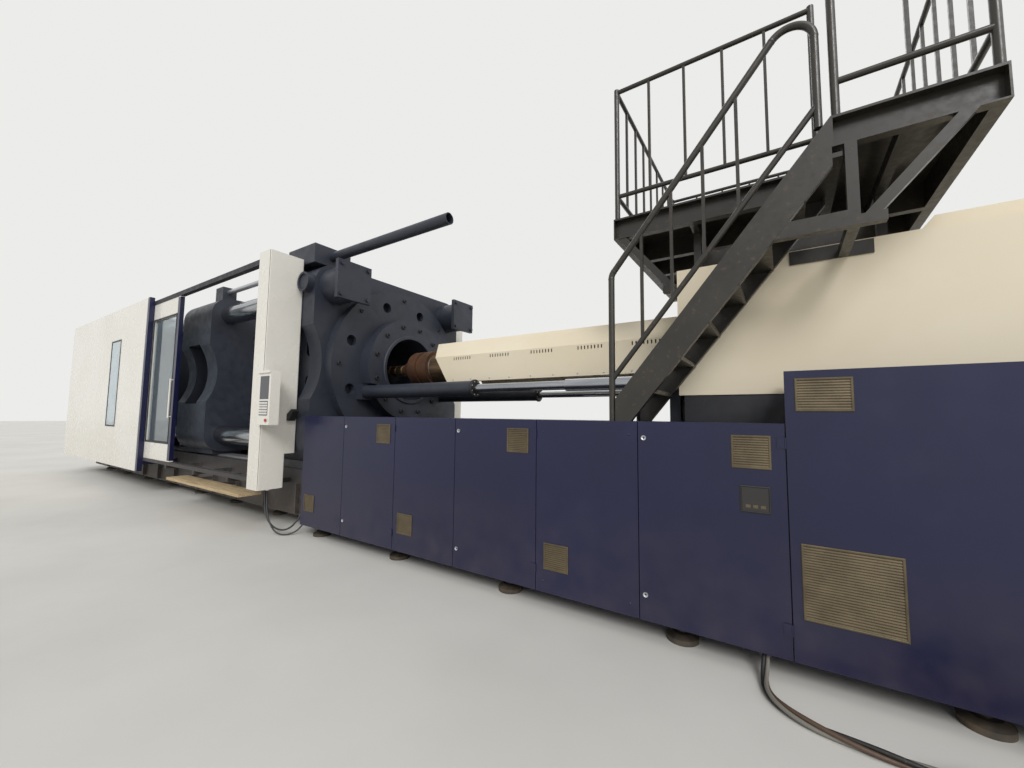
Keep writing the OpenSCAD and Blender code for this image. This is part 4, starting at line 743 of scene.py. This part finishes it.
@dataclass
class Vents:
    """The bronze grilles of the cabinets: a raised frame round a stack of slanting slats.

    The slats' heights are shares of a pitch, and their depths and the frame's section are
    shares of how proud a grille stands.
    """

    mould: Mould
    face: float = -1.600
    proud: float = 0.007
    rim: float = 0.012
    pitch: float = 0.0155
    slat_heights: tuple[float, ...] = (0.0, 0.10, 0.62, 0.72)
    slat_depths: tuple[float, ...] = (0.0, 0.8, 0.45, 0.0)
    section: Profile = ((0.0, 0.0), (0.0, 1.0), (0.25, 1.25), (0.75, 1.25), (1.0, 0.9), (1.0, 0.0))
    places: tuple[tuple[str, str, Pane], ...] = (
        ("vent_door_1", "door_1", (6.310, 1.290, 0.200, 0.190)),
        ("vent_door_2", "door_2", (4.520, 1.290, 0.200, 0.190)),
        ("vent_door_3", "door_3", (2.730, 1.290, 0.200, 0.190)),
        ("vent_panel_1", "root", (4.900, 0.350, 0.200, 0.190)),
        ("vent_panel_2", "root", (3.110, 0.350, 0.200, 0.190)),
        ("vent_panel_3", "root", (1.320, 0.350, 0.200, 0.190)),
        ("vent_tall", "root", (6.670, 1.660, 0.260, 0.180)),
        ("louvre_tall", "root", (6.670, 0.420, 0.440, 0.420)))

    def build(self) -> None:
        """Makes each grille and its frame."""
        for name, body, pane in self.places:
            self.slats(name + "_slats", body, pane)
            self.frame(name + "_frame", body, pane)

    def slats(self, name: str, body: str, pane: Pane) -> None:
        """A sheet whose depth follows a saw wave with height: out over 0.62 of a pitch, then back.

        Args:
            name: The piece's name.
            body: The body that it rides on.
            pane: The grille's X, Z, width and height.
        """
        x, z, wide, high = pane
        count = int(high / self.pitch)
        step = high / count
        rise = np.arange(count + 1)[:, None] * step + np.array(self.slat_heights) * step
        depth = np.broadcast_to(np.array(self.slat_depths) * self.proud, rise.shape)
        line = np.stack([self.face - SHEET_GAP - depth.ravel()[:-3],
                         z + np.clip(rise.ravel()[:-3], 0, high)], axis=1)
        back = self.face - CLOSE_GAP
        outline = np.concatenate([line, [[back, z + high], [back, z]]])
        piece = self.mould.prism(name, outline, 0, x, x + wide)
        self.mould.dress(piece, BRONZE, "heater_metal", body, smooth=False)

    def frame(self, name: str, body: str, pane: Pane) -> None:
        """The flat moulding round a grille, its section carried round the opening.

        Args:
            name: The piece's name.
            body: The body that it rides on.
            pane: The grille's X, Z, width and height.
        """
        section = np.array(self.section) * (self.rim, self.proud)
        piece = self.mould.rim(name, pane, self.face, section)
        self.mould.dress(piece, BRONZE, "heater_metal", body, smooth=False)


@dataclass
class CabinetTrim:
    """Locks, screws and the meter window of the cabinets."""

    mould: Mould
    face: float = -1.600
    doors: tuple[tuple[str, float], ...] = (("door_1", 5.680), ("door_2", 3.890), ("door_3", 2.100))
    lock_inset: float = 0.045
    lock_heights: tuple[float, ...] = (0.330, 1.450)
    lock: Profile = (
        (0.0, 0.018), (-0.006, 0.018), (-0.0055, 0.015), (-0.003, 0.012), (-0.002, 0.0075),
        (0.0, 0.006), (0.0, 0.0001))
    screw_columns: tuple[float, ...] = (1.30, 2.03)
    screw_heights: tuple[float, ...] = (0.24, 1.47)
    screw: Profile = (
        (0.0, 0.009), (-0.0015, 0.0085), (-0.0035, 0.006), (-0.0045, 0.003), (-0.0045, 0.0001))
    panels: int = 3
    panel_pitch: float = 1.79
    meter_pane: Pane = (6.352, 1.010, 0.150, 0.150)
    meter_section: Profile = (
        (0.0, 0.0), (0.0, 0.008), (0.004, 0.010), (0.010, 0.007), (0.010, 0.0))
    pane_proud: float = 0.005
    key_proud: float = 0.008
    keys: int = 3
    key_pitch: float = 0.042
    key_inset: float = 0.020
    key_size: Span = (0.028, 0.020)

    def build(self) -> None:
        """Makes the trim of each door and panel."""
        for body, x in self.doors:
            self.locks(body, x + self.lock_inset)
        self.screws()
        self.meter()

    def locks(self, body: str, x: float) -> None:
        """A door's quarter-turn locks: a rim, a dished face and a core, as one turned profile.

        Args:
            body: The door's body.
            x: Where the locks stand along the machine.
        """
        places = np.array([[x, self.face - SHEET_GAP, height] for height in self.lock_heights])
        piece = self.mould.lathe(f"{body}_locks", places, 1, self.lock, 24)
        self.mould.dress(piece, STEEL, "ground_steel", body)

    def screws(self) -> None:
        """The round-headed screws that hold the fixed panels, at each panel's four corners."""
        steps = self.panel_pitch * np.arange(self.panels)[:, None]
        across = (np.array(self.screw_columns)[None] + steps).ravel()
        spots = np.stack(np.meshgrid(across, [self.face - CLOSE_GAP], self.screw_heights), axis=-1)
        piece = self.mould.lathe("panel_screws", spots.reshape(-1, 3), 1, self.screw, 16)
        self.mould.dress(piece, NAVY, "navy_paint")

    def meter(self) -> None:
        """The meter window of the first door: a bevelled frame with a dark pane and its keys."""
        ring = self.mould.rim("meter_rim", self.meter_pane, self.face, self.meter_section)
        self.mould.dress(ring, BLACK, "black_plastic", "door_1", smooth=False)
        front = self.face - self.pane_proud
        pane = self.mould.prism("meter_pane", rectangle(self.meter_pane), 1, front,
                                self.face - SHEET_GAP)
        self.mould.dress(pane, DARK_GLASS, "screen_glass", "door_1", smooth=False, bevel=0.001)
        x, z = self.meter_pane[:2]
        for index in range(self.keys):
            low = x + self.key_inset + index * self.key_pitch
            outline = rectangle((low, z + self.key_inset, *self.key_size))
            key = self.mould.prism(f"meter_key_{index + 1}", outline, 1,
                                   self.face - self.key_proud, front - CLOSE_GAP)
            self.mould.dress(key, BRONZE, "heater_metal", "door_1", smooth=False, bevel=0.0015)


@dataclass
class UnitTrim:
    """Bolts, glands and bands of the fixed platen, the shift cylinders and the barrel's head."""

    mould: Mould
    axis_z: float = 2.330
    ring_face: float = 1.300
    ring_bolts: BoltCircle = BoltCircle(1.180, 8, 0.0, 0.030)
    boss_face: float = 1.500
    boss_bolts: BoltCircle = BoltCircle(0.700, 12, 15.0, 0.034)
    lip: Profile = (
        (0.0, 0.500), (0.0, 0.560), (0.012, 0.556), (0.020, 0.545), (0.020, 0.508), (0.012, 0.500))
    cylinder_end: float = 3.460
    cylinder_y: float = 0.780
    cylinder_z: float = 1.930
    gland: Profile = (
        (0.0, 0.0515), (0.0, 0.108), (0.020, 0.108), (0.028, 0.100), (0.028, 0.060),
        (0.040, 0.058), (0.040, 0.0515))
    gland_flange: float = 0.028
    gland_bolts: BoltCircle = BoltCircle(0.082, 8, 22.5, 0.008)
    head_face: float = 1.700
    head_bolts: BoltCircle = BoltCircle(0.222, 12, 0.0, 0.022)
    band: Profile = (
        (0.0, 0.0805), (0.0, 0.087), (0.003, 0.090), (0.117, 0.090), (0.120, 0.087),
        (0.120, 0.0805))
    band_starts: tuple[float, ...] = (0.95, 1.10, 1.25)
    guard_screw: Profile = (
        (0.0, 0.011), (0.002, 0.0105), (0.0045, 0.008), (0.006, 0.004), (0.006, 0.0001))
    guard_y: float = 0.420
    guard_z: float = 2.090
    guard_from: float = 2.80
    guard_pitch: float = 0.31
    guard_count: int = 9

    def build(self) -> None:
        """Makes the fixed pieces, then those that ride on the carriage."""
        self.platen()
        self.cylinders()
        self.head()
        self.guard()

    def platen(self) -> None:
        """Two bolt circles, and the stiffened edge of the throat."""
        for name, face, circle in (("boss_bolts", self.boss_face, self.boss_bolts),
                                   ("ring_bolts", self.ring_face, self.ring_bolts)):
            spots = circle.spots((face + FACE_GAP, 0.0, self.axis_z))
            bolts = self.mould.lathe(name, spots, 0, circle.profile(), 20)
            self.mould.dress(bolts, BLACKENED, "black_steel")
        centre = (self.boss_face + FACE_GAP, 0.0, self.axis_z)
        lip = self.mould.lathe("throat_lip", centre, 0, self.lip, 96, hollow=True)
        self.mould.dress(lip, PLATEN, "platen_paint")

    def cylinders(self) -> None:
        """The rod glands of the shift cylinders, each held by a circle of bolts."""
        sides = (-self.cylinder_y, self.cylinder_y)
        places = np.array([[self.cylinder_end + FACE_GAP, y, self.cylinder_z] for y in sides])
        glands = self.mould.lathe("rod_glands", places, 0, self.gland, hollow=True)
        self.mould.dress(glands, BLACKENED, "black_steel")
        flange = self.cylinder_end + self.gland_flange + SHEET_GAP
        spots = np.concatenate([self.gland_bolts.spots((flange, y, self.cylinder_z))
                                for y in sides])
        bolts = self.mould.lathe("gland_bolts", spots, 0, self.gland_bolts.profile(), 12)
        self.mould.dress(bolts, STEEL, "ground_steel")

    def head(self) -> None:
        """The bolts of the barrel's head, and the heated bands round its nozzle."""
        spots = self.head_bolts.spots((self.head_face - FACE_GAP, 0.0, self.axis_z))
        bolts = self.mould.lathe("head_bolts", spots, 0, self.head_bolts.profile(-1), 20)
        self.mould.dress(bolts, BLACKENED, "black_steel", "carriage")
        places = np.array([[x, 0.0, self.axis_z] for x in self.band_starts])
        bands = self.mould.lathe("nozzle_bands", places, 0, self.band, hollow=True)
        self.mould.dress(bands, HEAT, "heater_metal", "carriage")

    def guard(self) -> None:
        """The screws along both lower edges of the barrel's guard."""
        across = self.guard_from + self.guard_pitch * np.arange(self.guard_count)
        for side, name in ((-1, "near"), (1, "far")):
            y = np.full_like(across, side * (self.guard_y + CLOSE_GAP))
            spots = np.stack([across, y, np.full_like(across, self.guard_z)], axis=1)
            profile = np.array(self.guard_screw) * (side, 1)
            screws = self.mould.lathe(f"guard_screws_{name}", spots, 1, profile, 12)
            self.mould.dress(screws, STEEL, "ground_steel", "carriage")


@dataclass
class GuardTrim:
    """The navy edge of the front gate, and the keypad's film on the operator's panel."""

    mould: Mould
    edge: Span = (-2.600, -2.4975)
    gate_faces: Span = (-1.8900, -1.8300)
    heights: Span = (0.740, 3.700)
    sheet: float = 0.0025
    keypad: Pane = (0.895, 1.570, 0.217, 0.188)
    film: float = 0.0015
    panel_face: float = -2.030

    def build(self) -> None:
        """Makes the folded edge, which slides with the gate, and the film."""
        (x0, x1), (near, far), t = self.edge, self.gate_faces, self.sheet
        inner = x1 - t + FACE_GAP
        fold = np.array([[x0, near - t], [x1, near - t], [x1, far + t], [x0, far + t],
                         [x0, far + FACE_GAP], [inner, far + FACE_GAP],
                         [inner, near - FACE_GAP], [x0, near - FACE_GAP]])
        edge = self.mould.prism("gate_edge", fold, 2, *self.heights)
        self.mould.dress(edge, NAVY, "navy_paint", "gate_front", smooth=False)
        film = self.mould.prism("keypad_film", rectangle(self.keypad), 1,
                                self.panel_face - self.film, self.panel_face - CLOSE_GAP)
        self.mould.dress(film, KEYPAD, "black_plastic", smooth=False)


@dataclass
class Gaskets:
    """The black rubber seals round the panes of the gate and of the long covers.

    Each pane gives a name, a body, the pane itself, the Y of its face and the way it looks.
    """

    mould: Mould
    section: Profile = (
        (-0.010, 0.0), (-0.010, 0.003), (0.004, 0.005), (0.010, 0.008), (0.018, 0.008),
        (0.022, 0.004), (0.022, 0.0))
    panes: tuple[tuple[str, str, Pane, float, int], ...] = (
        ("gate_seal_lead", "gate_front", (-3.750, 1.050, 1.120, 2.340), -1.890, -1),
        ("gate_seal_rear", "gate_front", (-5.420, 1.050, 1.540, 2.340), -1.890, -1),
        ("cover_seal_front", "root", (-6.050, 1.300, 0.620, 1.850), -1.980, -1),
        ("cover_seal_back", "root", (-6.050, 1.300, 0.620, 1.850), 1.980, 1))

    def build(self) -> None:
        """Makes each seal: a lip over the pane's edge and a bead outside it."""
        for name, body, pane, face, side in self.panes:
            piece = self.mould.rim(name, pane, face + side * FACE_GAP, self.section, side)
            self.mould.dress(piece, BLACK, "black_plastic", body, smooth=False)


@dataclass
class Studio:
    """The plain pale floor, the soft lamps and the camera.

    Each lamp gives a name, a strength, a spread in degrees and the way that it shines.
    """

    place: Point = (6.6, -4.7, 1.6)
    right: Point = (0.8349, 0.5504, 0.0111)
    up: Point = (0.0333, -0.0707, 0.9969)
    lens: float = 14.48
    lamps: tuple[tuple[str, float, float, Point], ...] = (
        ("key_lamp", 1.7, 24.0, (-0.45, 0.72, -0.62)),
        ("fill_lamp", 0.7, 60.0, (-0.55, 0.25, -0.50)),
        ("rear_lamp", 0.5, 40.0, (0.25, -0.70, -0.60)))
    sky: float = 0.42
    backdrop: Colour = tone(236, 236, 234)
    reach: float = 90.0
    floor_z: float = -0.0006

    def build(self) -> None:
        """Makes the camera, the lamps, the world and the floor."""
        self.camera()
        for lamp in self.lamps:
            self.lamp(*lamp)
        self.world()
        self.floor()
        bpy.context.scene.view_settings.view_transform = "Standard"

    def camera(self) -> None:
        """A wide lens at the photograph's height, its axes given as directions."""
        data = bpy.data.cameras.new("photo_camera")
        data.lens, data.sensor_width = self.lens, 36.0
        data.clip_start, data.clip_end = 0.05, 300.0
        camera = bpy.data.objects.new("photo_camera", data)
        bpy.context.scene.collection.objects.link(camera)
        right, up = np.array(self.right), np.array(self.up)
        right /= np.linalg.norm(right)
        up -= right * np.dot(up, right)
        up /= np.linalg.norm(up)
        turn = np.eye(4)
        turn[:3, :3] = np.stack([right, up, np.cross(right, up)], axis=1)
        turn[:3, 3] = self.place
        camera.matrix_world = Matrix(turn.tolist())
        bpy.context.scene.camera = camera

    def lamp(self, name: str, strength: float, spread: float, towards: Point) -> None:
        """A wide, soft sun, turned by two cross products with the upright.

        Args:
            name: The lamp's name.
            strength: Its strength.
            spread: How wide it is, in degrees.
            towards: The direction in which it shines.
        """
        data = bpy.data.lights.new(name, "SUN")
        data.energy, data.angle = strength, math.radians(spread)
        lamp = bpy.data.objects.new(name, data)
        bpy.context.scene.collection.objects.link(lamp)
        back = -np.array(towards) / np.linalg.norm(towards)
        across = np.cross((0.0, 0.0, 1.0), back)
        across /= np.linalg.norm(across)
        turn = np.eye(4)
        turn[:3, :3] = np.stack([across, np.cross(back, across), back], axis=1)
        lamp.matrix_world = Matrix(turn.tolist())

    def world(self) -> None:
        """A dim even sky on the object, and a pale one for the camera and in gloss and glass."""
        world = bpy.data.worlds.new("studio_world")
        world.use_nodes = True
        world.node_tree.nodes.clear()
        graph = Graph(world.node_tree)
        out, blend = graph.node("ShaderNodeOutputWorld"), graph.node("ShaderNodeMixShader")
        skies = (((1.0, 1.0, 1.0, 1.0), self.sky), (self.backdrop, 1.0))
        for index, (colour, strength) in enumerate(skies, start=1):
            sky = graph.node("ShaderNodeBackground")
            sky.inputs["Color"].default_value = colour
            sky.inputs["Strength"].default_value = strength
            graph.link(sky.outputs["Background"], blend.inputs[index])
        rays = graph.node("ShaderNodeLightPath").outputs
        seen = graph.joined("MAXIMUM", rays["Is Camera Ray"], rays["Is Glossy Ray"])
        seen = graph.joined("MAXIMUM", seen, rays["Is Transmission Ray"])
        graph.link(seen, blend.inputs["Fac"])
        graph.link(blend.outputs["Shader"], out.inputs["Surface"])
        bpy.context.scene.world = world

    def floor(self) -> None:
        """One pale sheet under the machine."""
        edge, z = self.reach, self.floor_z
        corners = [(-edge, -edge, z), (edge, -edge, z), (edge, edge, z), (-edge, edge, z)]
        mesh = bpy.data.meshes.new("floor")
        mesh.from_pydata(corners, [], [(0, 1, 2, 3)])
        sheet = bpy.data.objects.new("floor", mesh)
        bpy.context.scene.collection.objects.link(sheet)
        sheet.data.materials.append(FLOOR.material())


def dress_nodes() -> None:
    """Gives every CAD node the finish of its material slot."""
    slots = {entry["node"]: entry["material_slot"] for entry in frame["record"]["subparts"]}
    for name, node in frame["nodes"].items():
        finish = NODE_FINISH[slots[name]]
        if node.material_slots:
            for place in node.material_slots:
                place.material = finish.material()
        else:
            node.data.materials.append(finish.material())
        LOG.info("%s: %s", name, finish.name)


def main() -> None:
    """Builds the studio, the cords and each sub-assembly's trim, in that order."""
    logging.basicConfig(level=logging.INFO, format="%(name)s: %(message)s")
    mould = Mould()
    Studio().build()
    Cords(mould).build()
    dress_nodes()
    for trim in (Vents, CabinetTrim, UnitTrim, Gaskets, GuardTrim):
        trim(mould).build()
    LOG.info("pieces made: %d", mould.count)


if __name__ == "__main__":
    main()
